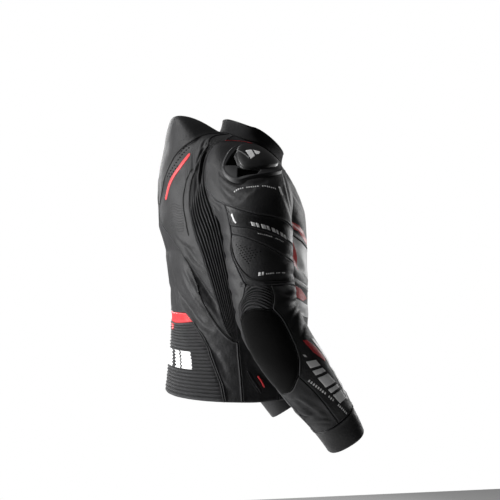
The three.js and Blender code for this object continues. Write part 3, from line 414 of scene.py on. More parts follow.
hump_edge = b(14, [24, 0], [31, -16], [33.5, -34], [31, -48], [27, -60], [20, -80], [14, -105], [6, -140],
              [HUMP_TIP, HUMP_END])
centre_back = b(3, [0, HUMP_END], [0, BACK_SEAM])
gusset_back = b(18, [35, 0], [47, -26], [52, -46], [49, -72], [44, -100], [40, -135], [41, -165], [45, -205],
                [52, -250], [58, -300], [63, -350], [69, -400], GUSSET_FOOT)
back_seam = b(9, [0, BACK_SEAM], [17, -220], [33, -262], [41, -301], [50, -349], [58, -382], [68, -412],
              GUSSET_FOOT)
gusset_neck = b(2, [50, 0], arm_spot(50))
side_back = b(8, arm_spot(-30), [67, -175], [70, -211], [74, -280], [77, -340], [78.5, -400], GUSSET_CORNER)
gusset_front = gusset_neck + armhole(8, 50, -30) + side_back
gusset_foot = b(1, GUSSET_FOOT, GUSSET_CORNER)
hip_front = b(4, GUSSET_CORNER, [80, -463], [81.5, -502], [HIP, HEM])
hip_back = b(10, BAND_END, [42, -403], [50, -427], [56, -457], [62, -490], [67, -523], [RIBS_END, HEM])
band_top = b(3, [0, BAND_TOP], BAND_TURN)
band_slant = b(1, BAND_TURN, BAND_END)
band_foot = b(3, [0, -398], [18, -396], BAND_END)
chest_neck = b(2, [130, 0], arm_spot(130))
side_chest = b(2, arm_spot(210), [115, -190])
side_insert = b(3, [115, -190], [114, -240], [113, -290])
side_lower = b(7, [113, -290], [109, -430], [SIDE_END, HEM])
chest_seam = b(7, [115, -190], [148, -216], [ZIP_EDGE, -226])
insert_seam = b(7, [113, -290], [148, -316], [ZIP_EDGE, -326])
zip_chest, zip_insert, zip_lower = zip_side(12, 0, -226), zip_side(3, -226, -326), zip_side(7, -326, HEM)

REAR = {"shoulder": [27, 80], "band": [34, 104], "strip": [34, 124], "arm": [50, 228], "elbow": [21, 288],
        "patch": [14, 432], "cuff": [14, CUFF_SEAM]}
ELBOW = {"top": [93, 238], "ribs": [90, 284], "patch": [76, 414], "cuff": [88, CUFF_SEAM]}
front_seam = lambda cells, start, end: s(cells, [FRONT_SEAM, start], [FRONT_SEAM, end])
rear_seam = {
    "shoulder": s(5, [-10, 0], [0, 40], [9, 64], REAR["shoulder"]),
    "band": s(2, REAR["shoulder"], REAR["band"]),
    "strip": s(1, REAR["band"], REAR["strip"]),
    "arm": s(4, REAR["strip"], [27, 150], [38, 196], REAR["arm"]),
    "elbow": s(3, REAR["arm"], [40, 250], [26, 266], REAR["elbow"]),
    "patch": s(4, REAR["elbow"], [8, 334], [2, 368], [6, 402], REAR["patch"]),
    "forearm": s(4, REAR["patch"], [17, 480], REAR["cuff"]),
}
elbow_seam = {
    "ribs": s(3, ELBOW["top"], [95, 262], ELBOW["ribs"]),
    "patch": s(4, ELBOW["ribs"], [99, 306], [101, 344], [93, 388], ELBOW["patch"]),
    "forearm": s(4, ELBOW["patch"], [82, 446], ELBOW["cuff"]),
}
fore_seam = {"shoulder": front_seam(5, 0, 106), "band": front_seam(2, 106, 146),
             "strip": front_seam(1, 146, 186),
             "arm": front_seam(4, 186, 238), "forearm": front_seam(11, 238, CUFF_SEAM)}
whole = lambda seams: sum(seams.values(), [])
shoulder_seam = s(11, REAR["shoulder"], [57, 93], [90, 101], [140, 107], [FRONT_SEAM, 106])
band_seam = s(11, REAR["band"], [44, 112], [70, 125], [110, 143], [FRONT_SEAM, 146])
strip_seam = s(11, REAR["strip"], [60, 140], [84, 156], [120, 178], [FRONT_SEAM, 186])
arm_elbow = s(3, REAR["arm"], [70, 235], ELBOW["top"])
arm_fore = s(8, ELBOW["top"], [137, 240], [FRONT_SEAM, 238])
patch_top = s(6, REAR["elbow"], [39, 278], [65, 277], ELBOW["ribs"])
patch_foot = s(6, REAR["patch"], [50, 430], ELBOW["patch"])


def around(run):
    """The ring of seam lines round the sleeve at a run, from the rear seam back to it."""
    stops = [(4, REAR_SEAM, REAR["cuff"][0]), (6, REAR["cuff"][0], ELBOW["cuff"][0]),
             (8, ELBOW["cuff"][0], FRONT_SEAM), (10, FRONT_SEAM, REAR_SEAM + TURN)]
    return [s(cells, [start, run], [end, run]) for cells, start, end in stops]


cuff_rear, cuff_elbow, cuff_fore, cuff_inner = around(CUFF_SEAM)
inner_seam = lambda a: s(23, [a, 0], [a, CUFF_SEAM])


# ------------------------------------------------------------------ finishes
def linear(code):
    """A display colour given as six hex digits, as light."""
    parts = [int(code[k : k + 2], 16) / 255 for k in (0, 2, 4)]
    return tuple(c / 12.92 if c <= 0.04045 else ((c + 0.055) / 1.055) ** 2.4 for c in parts) + (1.0,)


def node(tree, kind, settings=None, links=None):
    """Adds a shader node: settings are attributes or socket values, links join a named input to another
    output."""
    made = tree.nodes.new(kind)
    for name, value in (settings or {}).items():
        if name in made.inputs:
            made.inputs[name].default_value = value
        else:
            setattr(made, name, value)
    for name, source in (links or {}).items():
        tree.links.new(source, made.inputs[name])
    return made


def finish(name, colour, **sockets):
    """A material with a plain surface shader; returns it, its tree and the shader."""
    made = bpy.data.materials.new(name)
    made.use_nodes = True
    tree = made.node_tree
    shader = tree.nodes["Principled BSDF"]
    shader.inputs["Base Color"].default_value = linear(colour)
    for socket, value in sockets.items():
        shader.inputs[socket.replace("_", " ")].default_value = value
    made.diffuse_color = linear(colour)
    return made, tree, shader


def shade(tree, shader, dark, light, fac):
    """Runs the shader's colour from dark to light by a pattern."""
    ramp = node(tree, "ShaderNodeMix", {"data_type": "RGBA"})
    for socket in ramp.inputs:
        if socket.identifier == "A_Color":
            socket.default_value = linear(dark)
        if socket.identifier == "B_Color":
            socket.default_value = linear(light)
        if socket.identifier == "Factor_Float":
            tree.links.new(fac, socket)
    out = next(o for o in ramp.outputs if o.identifier == "Result_Color")
    tree.links.new(out, shader.inputs["Base Color"])


def hide(name, dark, light, rough, grain, sheen=0.0, coat=0.0, specular=0.5):
    """Finished cowhide: a pebbled grain of cells about 1.2 mm wide with finer pores between, which the eye reads
    as a broken soft gloss; the colour is painted paler by the wear_and_highlight attribute on the seam welts and
    raised crests, a painted highlight that stands partly for rubbed wear."""
    made, tree, shader = finish(name, dark, Roughness=rough, Sheen_Weight=sheen, Sheen_Roughness=0.5,
                                Coat_Weight=coat, Coat_Roughness=0.3, Specular_IOR_Level=specular)
    where = node(tree, "ShaderNodeTexCoord").outputs["Object"]
    warp = node(tree, "ShaderNodeTexNoise", {"Scale": 190.0, "Detail": 2.0}, {"Vector": where})
    cells = node(tree, "ShaderNodeTexVoronoi", {"feature": "DISTANCE_TO_EDGE", "Scale": 820.0},
                 {"Vector": where})
    soft = node(tree, "ShaderNodeMapRange", {"From Max": 0.18, "To Max": 1.0},
                {"Value": cells.outputs["Distance"]})
    pores = node(tree, "ShaderNodeTexNoise", {"Scale": 2600.0, "Detail": 3.0}, {"Vector": where})
    both = node(tree, "ShaderNodeMath", {"operation": "ADD"})
    tree.links.new(soft.outputs["Result"], both.inputs[0])
    tree.links.new(pores.outputs["Fac"], both.inputs[1])
    raised = node(tree, "ShaderNodeBump", {"Strength": grain, "Distance": 0.00012}, {"Height": both.outputs[0]})
    slow = node(tree, "ShaderNodeBump", {"Strength": 0.35, "Distance": 0.002},
                {"Height": warp.outputs["Fac"], "Normal": raised.outputs["Normal"]})
    tree.links.new(slow.outputs["Normal"], shader.inputs["Normal"])
    # The wear_and_highlight attribute paints the seam welts and raised crests paler: a painted highlight, partly
    # standing for rubbed wear.
    wear_and_highlight = node(tree, "ShaderNodeAttribute", {"attribute_name": "wear_and_highlight"})
    patch = node(tree, "ShaderNodeTexNoise", {"Scale": 26.0, "Detail": 3.0}, {"Vector": where})
    mottle = node(tree, "ShaderNodeMapRange", {"From Min": 0.3, "From Max": 0.75, "To Max": 0.45},
                  {"Value": patch.outputs["Fac"]})
    tone = node(tree, "ShaderNodeMath", {"operation": "ADD", "use_clamp": True})
    tree.links.new(wear_and_highlight.outputs["Fac"], tone.inputs[0])
    tree.links.new(mottle.outputs["Result"], tone.inputs[1])
    shade(tree, shader, dark, light, tone.outputs[0])
    gloss = node(tree, "ShaderNodeMapRange", {"To Min": rough + 0.06, "To Max": rough - 0.1},
                 {"Value": patch.outputs["Fac"]})
    tree.links.new(gloss.outputs["Result"], shader.inputs["Roughness"])
    return made


def knit(name, dark, light, pitch, sheen=0.25, rough=0.85):
    """Stretch cloth: fine wales side by side along the piece's own length, crossed by shorter courses; the eye
    sees a dull cloth with a faint grid."""
    made, tree, shader = finish(name, dark, Roughness=rough, Sheen_Weight=sheen, Sheen_Roughness=0.4,
                                Specular_IOR_Level=0.3)
    along = node(tree, "ShaderNodeUVMap", {"uv_map": "laid"}).outputs["UV"]
    wales = node(tree, "ShaderNodeTexWave", {"Scale": 0.5 / (pitch * MM), "bands_direction": "X",
                                             "Distortion": 0.6, "Detail Scale": 2.0}, {"Vector": along})
    courses = node(tree, "ShaderNodeTexWave", {"Scale": 0.65 / (pitch * MM),
                                               "bands_direction": "Y", "Distortion": 0.6}, {"Vector": along})
    both = node(tree, "ShaderNodeMath", {"operation": "MULTIPLY"})
    tree.links.new(wales.outputs["Fac"], both.inputs[0])
    tree.links.new(courses.outputs["Fac"], both.inputs[1])
    raised = node(tree, "ShaderNodeBump", {"Strength": 0.6, "Distance": 0.0003}, {"Height": both.outputs[0]})
    tree.links.new(raised.outputs["Normal"], shader.inputs["Normal"])
    # The wear_and_highlight attribute adds a painted highlight to the rib tops and seam welts.
    wear_and_highlight = node(tree, "ShaderNodeAttribute", {"attribute_name": "wear_and_highlight"})
    mixed = node(tree, "ShaderNodeMath", {"operation": "MULTIPLY_ADD", "use_clamp": True})
    tree.links.new(both.outputs[0], mixed.inputs[0])
    mixed.inputs[1].default_value = 0.5
    tree.links.new(wear_and_highlight.outputs["Fac"], mixed.inputs[2])
    shade(tree, shader, dark, light, mixed.outputs[0])
    return made


def pile(name, dark, light):
    """Short matt pile over the elbow: fibres in clumps under a millimetre wide that swallow light and
    catch a faint
    velvet edge."""
    made, tree, shader = finish(name, dark, Roughness=0.96, Sheen_Weight=0.03, Sheen_Roughness=0.6,
                                Specular_IOR_Level=0.05)
    where = node(tree, "ShaderNodeTexCoord").outputs["Object"]
    fibre = node(tree, "ShaderNodeTexNoise", {"Scale": 1500.0, "Detail": 4.0}, {"Vector": where})
    nap = node(tree, "ShaderNodeTexNoise", {"Scale": 60.0, "Detail": 3.0}, {"Vector": where})
    raised = node(tree, "ShaderNodeBump", {"Strength": 0.8, "Distance": 0.0005},
                  {"Height": fibre.outputs["Fac"]})
    tree.links.new(raised.outputs["Normal"], shader.inputs["Normal"])
    shade(tree, shader, dark, light, nap.outputs["Fac"])
    return made


def moulded(name, dark, light, rough, coat=0.0, texture=0.12):
    """Moulded plastic or rubber: smooth, with the faint orange peel of the mould and a few rubbed marks."""
    made, tree, shader = finish(name, dark, Roughness=rough, Coat_Weight=coat, Coat_Roughness=0.12)
    where = node(tree, "ShaderNodeTexCoord").outputs["Object"]
    peel = node(tree, "ShaderNodeTexNoise", {"Scale": 700.0, "Detail": 2.0}, {"Vector": where})
    rubbed = node(tree, "ShaderNodeTexNoise", {"Scale": 45.0, "Detail": 5.0, "Roughness": 0.7},
                  {"Vector": where})
    raised = node(tree, "ShaderNodeBump", {"Strength": texture, "Distance": 0.0002},
                  {"Height": peel.outputs["Fac"]})
    tree.links.new(raised.outputs["Normal"], shader.inputs["Normal"])
    shade(tree, shader, dark, light, rubbed.outputs["Fac"])
    gloss = node(tree, "ShaderNodeMapRange", {"To Min": rough - 0.06, "To Max": rough + 0.1},
                 {"Value": rubbed.outputs["Fac"]})
    tree.links.new(gloss.outputs["Result"], shader.inputs["Roughness"])
    return made


def metal(name, dark, light, rough):
    """Blackened zip metal: dark, paler in random patches worn by use."""
    made, tree, shader = finish(name, dark, Roughness=rough, Metallic=0.85)
    where = node(tree, "ShaderNodeTexCoord").outputs["Object"]
    worn = node(tree, "ShaderNodeTexNoise", {"Scale": 900.0, "Detail": 4.0}, {"Vector": where})
    raised = node(tree, "ShaderNodeBump", {"Strength": 0.15, "Distance": 0.0001},
                  {"Height": worn.outputs["Fac"]})
    tree.links.new(raised.outputs["Normal"], shader.inputs["Normal"])
    shade(tree, shader, dark, light, worn.outputs["Fac"])
    return made


BLACK_HIDE = hide("black_cowhide", "1a1a1b", "2b2b2d", 0.6, 0.5, specular=0.32)
SMOOTH_HIDE = hide("smooth_black_cowhide", "101011", "1c1c1e", 0.5, 0.25, specular=0.32)
DARK_PIPING = hide("dull_black_piping", "060606", "121213", 0.6, 0.3, specular=0.2)
RED_HIDE = hide("red_cowhide", "c02026", "d8454a", 0.5, 0.35)
WHITE_HIDE = hide("white_cowhide", "d2d2d2", "e8e8e8", 0.5, 0.35)
STRETCH_KNIT = knit("aramid_stretch_knit", "0a0a0b", "2f2f31", 0.9, sheen=0.12)
COLLAR_KNIT = knit("collar_neoprene", "141416", "222224", 0.7, sheen=0.15)
TAPE_WEAVE = knit("zip_tape_weave", "0f0f10", "1e1e20", 0.6, sheen=0.1)
LINING = knit("mesh_lining", "161617", "2a2a2c", 1.6, sheen=0.2)
PILE = pile("elbow_pile", "030303", "080808")
CUP_RUBBER = moulded("cup_rubber", "161618", "222224", 0.55)
CUP_GLOSS = moulded("cup_shell_gloss", "101011", "1a1a1b", 0.45, coat=0.05)
PRINT_WHITE = moulded("white_print", "c8c8c8", "e2e2e2", 0.5, texture=0.05)
# Flat black with no gloss: painted shade for the depth of punched holes and of the cup's vent and slot.
HOLE_SHADE = finish("painted_hole_shade", "050505", Roughness=1.0, Specular_IOR_Level=0.0)[0]
THREAD = knit("bonded_thread", "161617", "2c2c2e", 0.5)
ZIP_METAL = metal("blackened_zip_metal", "2a2a2c", "55555a", 0.35)


# ------------------------------------------------------------------ meshes
def mesh(name, points, faces, materials, slots=None, uv=None, wear_and_highlight=None):
    """Puts points (millimetres) and four- or three-sided faces into a new object at the origin."""
    made = bpy.data.meshes.new(name)
    points = np.asarray(points, float) * MM
    counts = np.array([len(f) for f in faces]) if isinstance(faces, list) else np.full(len(faces),
                                                                                       faces.shape[1])
    flat = np.concatenate([np.asarray(f).ravel() for f in faces]) if isinstance(faces, list) else faces.ravel()
    made.vertices.add(len(points))
    made.vertices.foreach_set("co", points.astype(np.float32).ravel())
    made.loops.add(len(flat))
    made.loops.foreach_set("vertex_index", flat.astype(np.int32))
    made.polygons.add(len(counts))
    made.polygons.foreach_set("loop_start", np.concatenate([[0], np.cumsum(counts)[:-1]]).astype(np.int32))
    made.polygons.foreach_set("use_smooth", np.full(len(counts), True))
    for material in materials:
        made.materials.append(material)
    if slots is not None:
        made.polygons.foreach_set("material_index", np.asarray(slots, np.int32))
    layer = made.uv_layers.new(name="laid")
    spread = np.zeros((len(points), 2)) if uv is None else np.asarray(uv) * MM
    if uv is None:
        spread = points[:, [0, 2]] + points[:, [1, 1]] * 0.7
    layer.data.foreach_set("uv", spread[flat].astype(np.float32).ravel())
    # wear_and_highlight: painted highlight on raised welts and crests, partly rubbed wear, read by the finishes.
    worn = made.attributes.new("wear_and_highlight", "FLOAT", "POINT")
    worn.data.foreach_set("value", (np.zeros(len(points)) if wear_and_highlight is None
                                    else np.asarray(wear_and_highlight)).astype(np.float32))
    made.update()
    made.validate()
    thing = bpy.data.objects.new(name, made)
    bpy.context.scene.collection.objects.link(thing)
    return thing


def halved(faces):
    """Four-sided faces as pairs of triangles, less those that have no area; triangles stay."""
    if faces.shape[1] == 4:
        faces = faces[:, [[0, 1, 2], [0, 2, 3]]].reshape(-1, 3)
    proper = (faces[:, 0] != faces[:, 1]) & (faces[:, 1] != faces[:, 2]) & (faces[:, 2] != faces[:, 0])
    return faces[proper]


def joined(parts):
    """Several sets of points and faces as one, all in triangles."""
    points, faces, start = [], [], 0
    for p, f in parts:
        points.append(p)
        faces.append(halved(f) + start)
        start += len(p)
    return np.concatenate(points), np.concatenate(faces)


def quads(rows, columns, start=0, closed=False):
    """Faces of a grid of points, row after row, facing the way of across times down."""
    index = np.arange(rows * columns).reshape(rows, columns) + start
    if closed:
        index = np.hstack([index, index[:, :1]])
    first, after, across, before = index[:-1, :-1], index[:-1, 1:], index[1:, 1:], index[1:, :-1]
    return np.stack([first, after, across, before], -1).reshape(-1, 4)


def spaced(length, step, edge=(0, 0.4, 1.0, 1.9, 3.2)):
    """Shares of a length: close together by both ends, where a seam rolls under, and a step apart between."""
    if length < 4 * edge[-1]:
        return np.linspace(0, 1, max(3, int(length / 1.2)))
    middle = np.linspace(edge[-1], length - edge[-1], max(3, round((length - 2 * edge[-1]) / step) + 1))
    return np.concatenate([edge[:-1], middle, length - np.array(edge[:-1])[::-1]]) / length


class Laid:
    """A cut piece laid on its chart: grids of chart points, places, outward normals and distances to its
    edges."""

    def __init__(self, chart, edges, side, step=3.0, counts=(None, None)):
        self.place = place = between(*edges)
        few = np.linspace(0, 1, 13)
        rough = place(few[None], few[:, None])
        spots = chart(rough[..., 0], rough[..., 1])
        wide = np.linalg.norm(np.diff(spots, axis=1), axis=-1).sum(1).max()
        long = np.linalg.norm(np.diff(spots, axis=0), axis=-1).sum(0).max()
        self.u = spaced(wide, step) if counts[0] is None else np.linspace(0, 1, counts[0] + 1)
        self.v = spaced(long, step) if counts[1] is None else np.linspace(0, 1, counts[1] + 1)
        grid = place(self.u[None], self.v[:, None])
        self.chart, self.side, self.a, self.l = chart, side, grid[..., 0], grid[..., 1]
        self.p = chart(self.a, self.l, side)
        self.n = unit(np.cross(np.gradient(self.p, axis=1), np.gradient(self.p, axis=0)))
        across = np.linalg.norm(np.diff(self.p, axis=1), axis=-1)
        down = np.linalg.norm(np.diff(self.p, axis=0), axis=-1)
        self.left = np.pad(np.cumsum(across, 1), ((0, 0), (1, 0)))
        self.right = self.left[:, -1:] - self.left
        self.top = np.pad(np.cumsum(down, 0), ((1, 0), (0, 0)))
        self.bottom = self.top[-1:] - self.top
        self.cut = (float(self.left[:, -1].max()) * MM, float(self.top[-1].max()) * MM)
        quad = 0.5 * np.linalg.norm(np.cross(self.p[1:, 1:] - self.p[:-1, :-1],
                                             self.p[1:, :-1] - self.p[:-1, 1:]), axis=-1)
        self.area = float(quad.sum()) * MM * MM

    def edge(self, *names):
        """Distance to the nearest of the named edges."""
        return np.minimum.reduce([getattr(self, name) for name in names or ("left", "right", "top", "bottom")])

    def uv(self):
        return np.stack([self.left - self.left[:, -1:] / 2, -self.top], -1).reshape(-1, 2)

    def shares(self, a, l):
        """Shares across and down at which chart points lie, from the nearest grid point by Newton's steps."""
        want = np.stack([a, l], -1)
        few = np.linspace(0, 1, 17)
        grid = self.place(few[None], few[:, None])
        apart = (grid.reshape(1, -1, 2) - want.reshape(-1, 1, 2)) * [self.chart.degree, 1.0]
        near = np.argmin((apart**2).sum(-1), axis=1).reshape(np.shape(a))
        u, v = few[near % len(few)], few[near // len(few)]
        for _ in range(6):
            hu, hv = np.where(u > 0.5, -1e-4, 1e-4), np.where(v > 0.5, -1e-4, 1e-4)
            here = self.place(u, v)
            du = (self.place(u + hu, v) - here) / hu[..., None]
            dv = (self.place(u, v + hv) - here) / hv[..., None]
            miss = want - here
            det = du[..., 0] * dv[..., 1] - du[..., 1] * dv[..., 0]
            u = np.clip(u + (miss[..., 0] * dv[..., 1] - miss[..., 1] * dv[..., 0]) / det, 0, 1)
            v = np.clip(v + (du[..., 0] * miss[..., 1] - du[..., 1] * miss[..., 0]) / det, 0, 1)
        return u, v

    def on(self, u, v):
        """Places on the made face and its normals at shares across and down, each between four grid points."""
        i = np.clip(np.searchsorted(self.u, u, side="right") - 1, 0, len(self.u) - 2)
        j = np.clip(np.searchsorted(self.v, v, side="right") - 1, 0, len(self.v) - 2)
        x = ((u - self.u[i]) / (self.u[i + 1] - self.u[i]))[..., None]
        y = ((v - self.v[j]) / (self.v[j + 1] - self.v[j]))[..., None]
        blend = lambda g: ((1 - x) * (1 - y) * g[j, i] + x * (1 - y) * g[j, i + 1]
                           + (1 - x) * y * g[j + 1, i] + x * y * g[j + 1, i + 1])
        return blend(self.face), unit(blend(self.n))


def seam_roll(far, deep=1.3, welt=0.9, wide=2.7):
    """A sewn edge: it dips into the seam, stands up over the turned allowance, and lies down again past it."""
    return -deep * np.exp(-((far / 1.2) ** 2)) + welt * np.exp(-(((far - wide) / 2.0) ** 2))


def every_other(count):
    """Every second line of a grid and the last one; for each line the kept ones on both sides of it and
    its share of
    the way between them; and which kept line lies at or before it."""
    kept = np.unique(np.append(np.arange(0, count, 2), count - 1))
    before = np.clip(np.searchsorted(kept, np.arange(count), side="right") - 1, 0, len(kept) - 1)
    low, high = kept[before], kept[np.minimum(before + 1, len(kept) - 1)]
    return kept, before, low, high, (np.arange(count) - low) / np.maximum(high - low, 1)


def grown(field, reach=2):
    """The greatest value of a grid within so many lines of each place."""
    for axis in (0, 1):
        padded = np.pad(field, [(reach, reach) if k == axis else (0, 0) for k in (0, 1)], mode="edge")
        many = field.shape[axis]
        field = np.maximum.reduce([np.take(padded, np.arange(many) + k, axis) for k in range(2 * reach + 1)])
    return field


def slab(name, laid, height, thick, materials, crest_highlight=0.05):
    """A closed shell: the laid grid raised by a height, every second line of it a thickness below, and a
    rim between.
    Where the coarser back would come out through a crease it is let down. The first material is the face and the
    rim, the second the back; crest_highlight is how much paler the colour is painted a millimetre up, a painted
    highlight on crests and rib tops."""
    rows, columns = laid.a.shape
    laid.face = laid.p + laid.n * height[..., None]
    back = laid.p - laid.n * thick
    kept_rows, before_row, low, high, share = every_other(rows)
    flatter = back[low] + (back[high] - back[low]) * share[:, None, None]
    kept_columns, before_column, low, high, share = every_other(columns)
    flatter = flatter[:, low] + (flatter[:, high] - flatter[:, low]) * share[:, None]
    clear = ((laid.face - flatter) * laid.n).sum(-1)
    back = back - laid.n * grown(np.clip(0.7 - clear, 0, None))[..., None]
    back = back[kept_rows][:, kept_columns]
    points = np.concatenate([laid.face.reshape(-1, 3), back.reshape(-1, 3)])
    many, index = rows * columns, np.arange(rows * columns).reshape(rows, columns)
    under = (before_row[:, None] * len(kept_columns) + before_column + many).ravel()
    round_rim = np.concatenate([index[0, :-1], index[:-1, -1], index[-1, :0:-1], index[:0:-1, 0]])
    after = np.roll(round_rim, -1)
    outside = halved(quads(rows, columns))
    rim = halved(np.stack([round_rim, under[round_rim], under[after], after], -1))
    inner_side = halved(quads(len(kept_rows), len(kept_columns), many)[:, ::-1])
    faces = np.concatenate([outside, rim, inner_side])
    slots = np.concatenate([np.zeros(len(outside) + len(rim)), np.ones(len(inner_side))])
    uv = laid.uv()
    uv = np.concatenate([uv, uv.reshape(rows, columns, 2)[kept_rows][:, kept_columns].reshape(-1, 2)])
    # Paler on the welt 2.6 mm in from each edge and on raised crests: a painted highlight, partly standing for
    # rubbed wear.
    worn = np.exp(-((laid.edge() - 2.6) / 1.8) ** 2) * 0.6 + np.clip(height, 0, 3) * crest_highlight
    wear_and_highlight = np.concatenate([worn.ravel(), np.zeros(len(points) - many)])
    if laid.side == "R":
        points = points * [-1, 1, 1]
        faces = faces[:, ::-1]
    return mesh(name, points, faces, materials, slots, uv, wear_and_highlight)


def dress(thing, *nodes, slot=None):
    """The piece rides on the jacket and stands for its solids, which are hidden; the slot is not used."""
    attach(thing, "jacket")
    if nodes:
        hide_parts(*nodes)
    return thing


SLANT_FILL = 0.42  # the least share of its box that a cut fills


def cloth(laid):
    """Works out a cut piece's area flat and its longest row by its longest column. Where the cut slants and fills
    less of that box than SLANT_FILL, both sides are scaled down until it fills that share: they are then an
    estimate, and much too short for the back. The result is not used."""
    wide, long = laid.cut
    shrink = min(1, math.sqrt(laid.area / (SLANT_FILL * wide * long)))
    wide, long = wide * shrink, long * shrink


# ------------------------------------------------------------------ cut pieces
def leather(laid):
    """A plain piece: only its sewn edges are shaped."""
    return seam_roll(laid.edge())


def ribs(count, height, across, arch=0.0, start=(-1.0, 0.0)):
    """Round sewn ribs that lie across or along the piece, softly uneven, and run out at its edges; arch
    bends them
    up by so many ribs in the middle, and they fade in between two shares of the way down."""
    def shape(laid):
        u, v = laid.u[None] + 0 * laid.a, laid.v[:, None] + 0 * laid.a
        w = (v if across else u) * count + arch * np.sin(np.pi * u)
        ends = laid.edge("left", "right") if across else laid.edge("top", "bottom")
        uneven = 1 + 0.1 * np.sin(w * 2.3 + ends * 0.02)
        rib = 1 - np.abs(np.cos(np.pi * w)) ** 2.2
        return height * uneven * rib * steps(0, 9, ends) * steps(*start, v) - 0.3
    return shape


FINE_RIB = 9  # grid cells to a rib
pieces = {}


def cut(name, chart, edges, shape, material, slot, sides=SIDES, thick=LEATHER, step=3.4, counts=(None, None),
        crest_highlight=0.05):
    for side in sides:
        laid = Laid(chart, edges, side, step, counts)
        full = name if side == "both" else f"{name}_{side}"
        thing = slab("cut_" + full, laid, shape(laid), thick, [material, LINING], crest_highlight)
        dress(thing, full, slot=slot)
        cloth(laid)
        pieces[full] = laid


HIDE = (BLACK_HIDE, "black_leather")
KNIT = (STRETCH_KNIT, "stretch_cloth")
BOTH = ("both",)
side_front = side_chest + side_insert + side_lower

cut("back_hump", body, (neck(10, -24, 24), b(10, [-HUMP_TIP, HUMP_END], [HUMP_TIP, HUMP_END]),
                        mirrored(hump_edge), hump_edge), leather, *HIDE, sides=BOTH)
cut("back", body, (neck(9, 24, 35), back_seam, hump_edge + b(1, [HUMP_TIP, HUMP_END], [0, HUMP_END])
                   + centre_back,
                   gusset_back), leather, *HIDE)
GUSSET_RIBS = 9
cut("back_gusset", body, (neck(3, 35, 50), gusset_foot, gusset_back, gusset_front),
    ribs(GUSSET_RIBS, 3.4, False, start=(0.36, 0.46)), *KNIT, thick=STRETCH,
    counts=(GUSSET_RIBS * FINE_RIB, 140), crest_highlight=0.22)
cut("lower_back", body, (back_seam + gusset_foot + hip_front, band_top + band_slant + hip_back,
                         b(6, [0, BACK_SEAM], [0, BAND_TOP]), b(6, [HIP, HEM], [RIBS_END, HEM])), leather,
                         *HIDE)
cut("back_band", body, (mirrored(reversed_line(band_top)) + band_top,
                        mirrored(reversed_line(band_foot)) + band_foot,
                        mirrored(band_slant), band_slant), leather, RED_HIDE, "red_leather", sides=BOTH)
WAIST_RIBS = 23
PLAIN = 4.4  # the step of grids on plainer pieces
cut("waist_ribs", body, (mirrored(reversed_line(band_foot)) + band_foot,
                         b(12, [-RIBS_END, HEM], [RIBS_END, HEM]),
                         mirrored(hip_back), hip_back),
    ribs(WAIST_RIBS, 2.9, True), *KNIT, sides=BOTH, thick=STRETCH, counts=(110, WAIST_RIBS * FINE_RIB),
    crest_highlight=0.22)
cut("side", body, (armhole(12, -30, 210 - TURN), b(6, [HIP, HEM], [SIDE_END, HEM]), side_back + hip_front,
                   side_front), leather, *HIDE, step=PLAIN)
cut("yoke", body, (neck(8, 50, 130), armhole(8, 50, 130), gusset_neck, chest_neck), leather, *HIDE)
cut("chest", body, (neck(7, 130, ZIP_EDGE), chest_seam, chest_neck + armhole(8, 130, 210) + side_chest,
                    zip_chest),
    leather, *HIDE, step=PLAIN)
cut("chest_insert", body, (chest_seam, insert_seam, side_insert, zip_insert), leather, WHITE_HIDE,
    "white_leather",
    step=PLAIN)
cut("front", body, (insert_seam, b(7, [SIDE_END, HEM], [ZIP_EDGE, HEM]), side_lower, zip_lower), leather,
    *HIDE, step=PLAIN)
cut("shoulder", sleeve, (cap_top(22, -10, FRONT_SEAM), shoulder_seam, rear_seam["shoulder"],
                         fore_seam["shoulder"]),
    leather, *HIDE)
cut("arm_band", sleeve, (shoulder_seam, band_seam, rear_seam["band"], fore_seam["band"]), leather, SMOOTH_HIDE,
    "black_leather")
cut("arm_strip", sleeve, (band_seam, strip_seam, rear_seam["strip"], fore_seam["strip"]), leather, *HIDE)
cut("arm_panel", sleeve, (strip_seam, arm_elbow + arm_fore, rear_seam["arm"], fore_seam["arm"]), leather, *HIDE)
cut("sleeve_rear", sleeve, (cap_top(4, REAR_SEAM, -10), cuff_rear, inner_seam(REAR_SEAM), whole(rear_seam)),
    leather, *HIDE)
ELBOW_RIBS = 8
cut("elbow_ribs", sleeve, (arm_elbow, patch_top, rear_seam["elbow"], elbow_seam["ribs"]),
    ribs(ELBOW_RIBS, 2.6, True, arch=2.2), *KNIT, thick=STRETCH, counts=(40, ELBOW_RIBS * FINE_RIB), crest_highlight=0.22)
cut("elbow_patch", sleeve, (patch_top, patch_foot, rear_seam["patch"], elbow_seam["patch"]),
    lambda laid: seam_roll(laid.edge(), welt=0.3) + 1.6 * steps(0, 16, laid.edge()), PILE, "elbow_pile")
cut("forearm_rear", sleeve, (patch_foot, cuff_elbow, rear_seam["forearm"], elbow_seam["forearm"]), leather,
    *HIDE)
cut("forearm_front", sleeve, (arm_fore, cuff_fore, whole(elbow_seam), fore_seam["forearm"]), leather, *HIDE)
cut("sleeve_inner", sleeve, (cap_top(10, FRONT_SEAM, REAR_SEAM + TURN), cuff_inner, whole(fore_seam),
                             inner_seam(REAR_SEAM + TURN)), leather, *KNIT, thick=STRETCH, step=PLAIN)
cut("cuff", sleeve, (cuff_rear[:1] + cuff_elbow[:1] + cuff_fore[:1] + cuff_inner[:1],
                     sum(around(CUFF_END), []), s(1, [REAR_SEAM, CUFF_SEAM], [REAR_SEAM, CUFF_END]),
                     s(1, [REAR_SEAM + TURN, CUFF_SEAM], [REAR_SEAM + TURN, CUFF_END])),
    lambda laid: seam_roll(laid.edge("top")) - 0.8 * np.exp(-((laid.bottom / 1.2) ** 2)), SMOOTH_HIDE,
    "black_leather")
collar_edge = lambda height: line(collar, 32, [-COLLAR_OPEN, height], [COLLAR_OPEN, height])
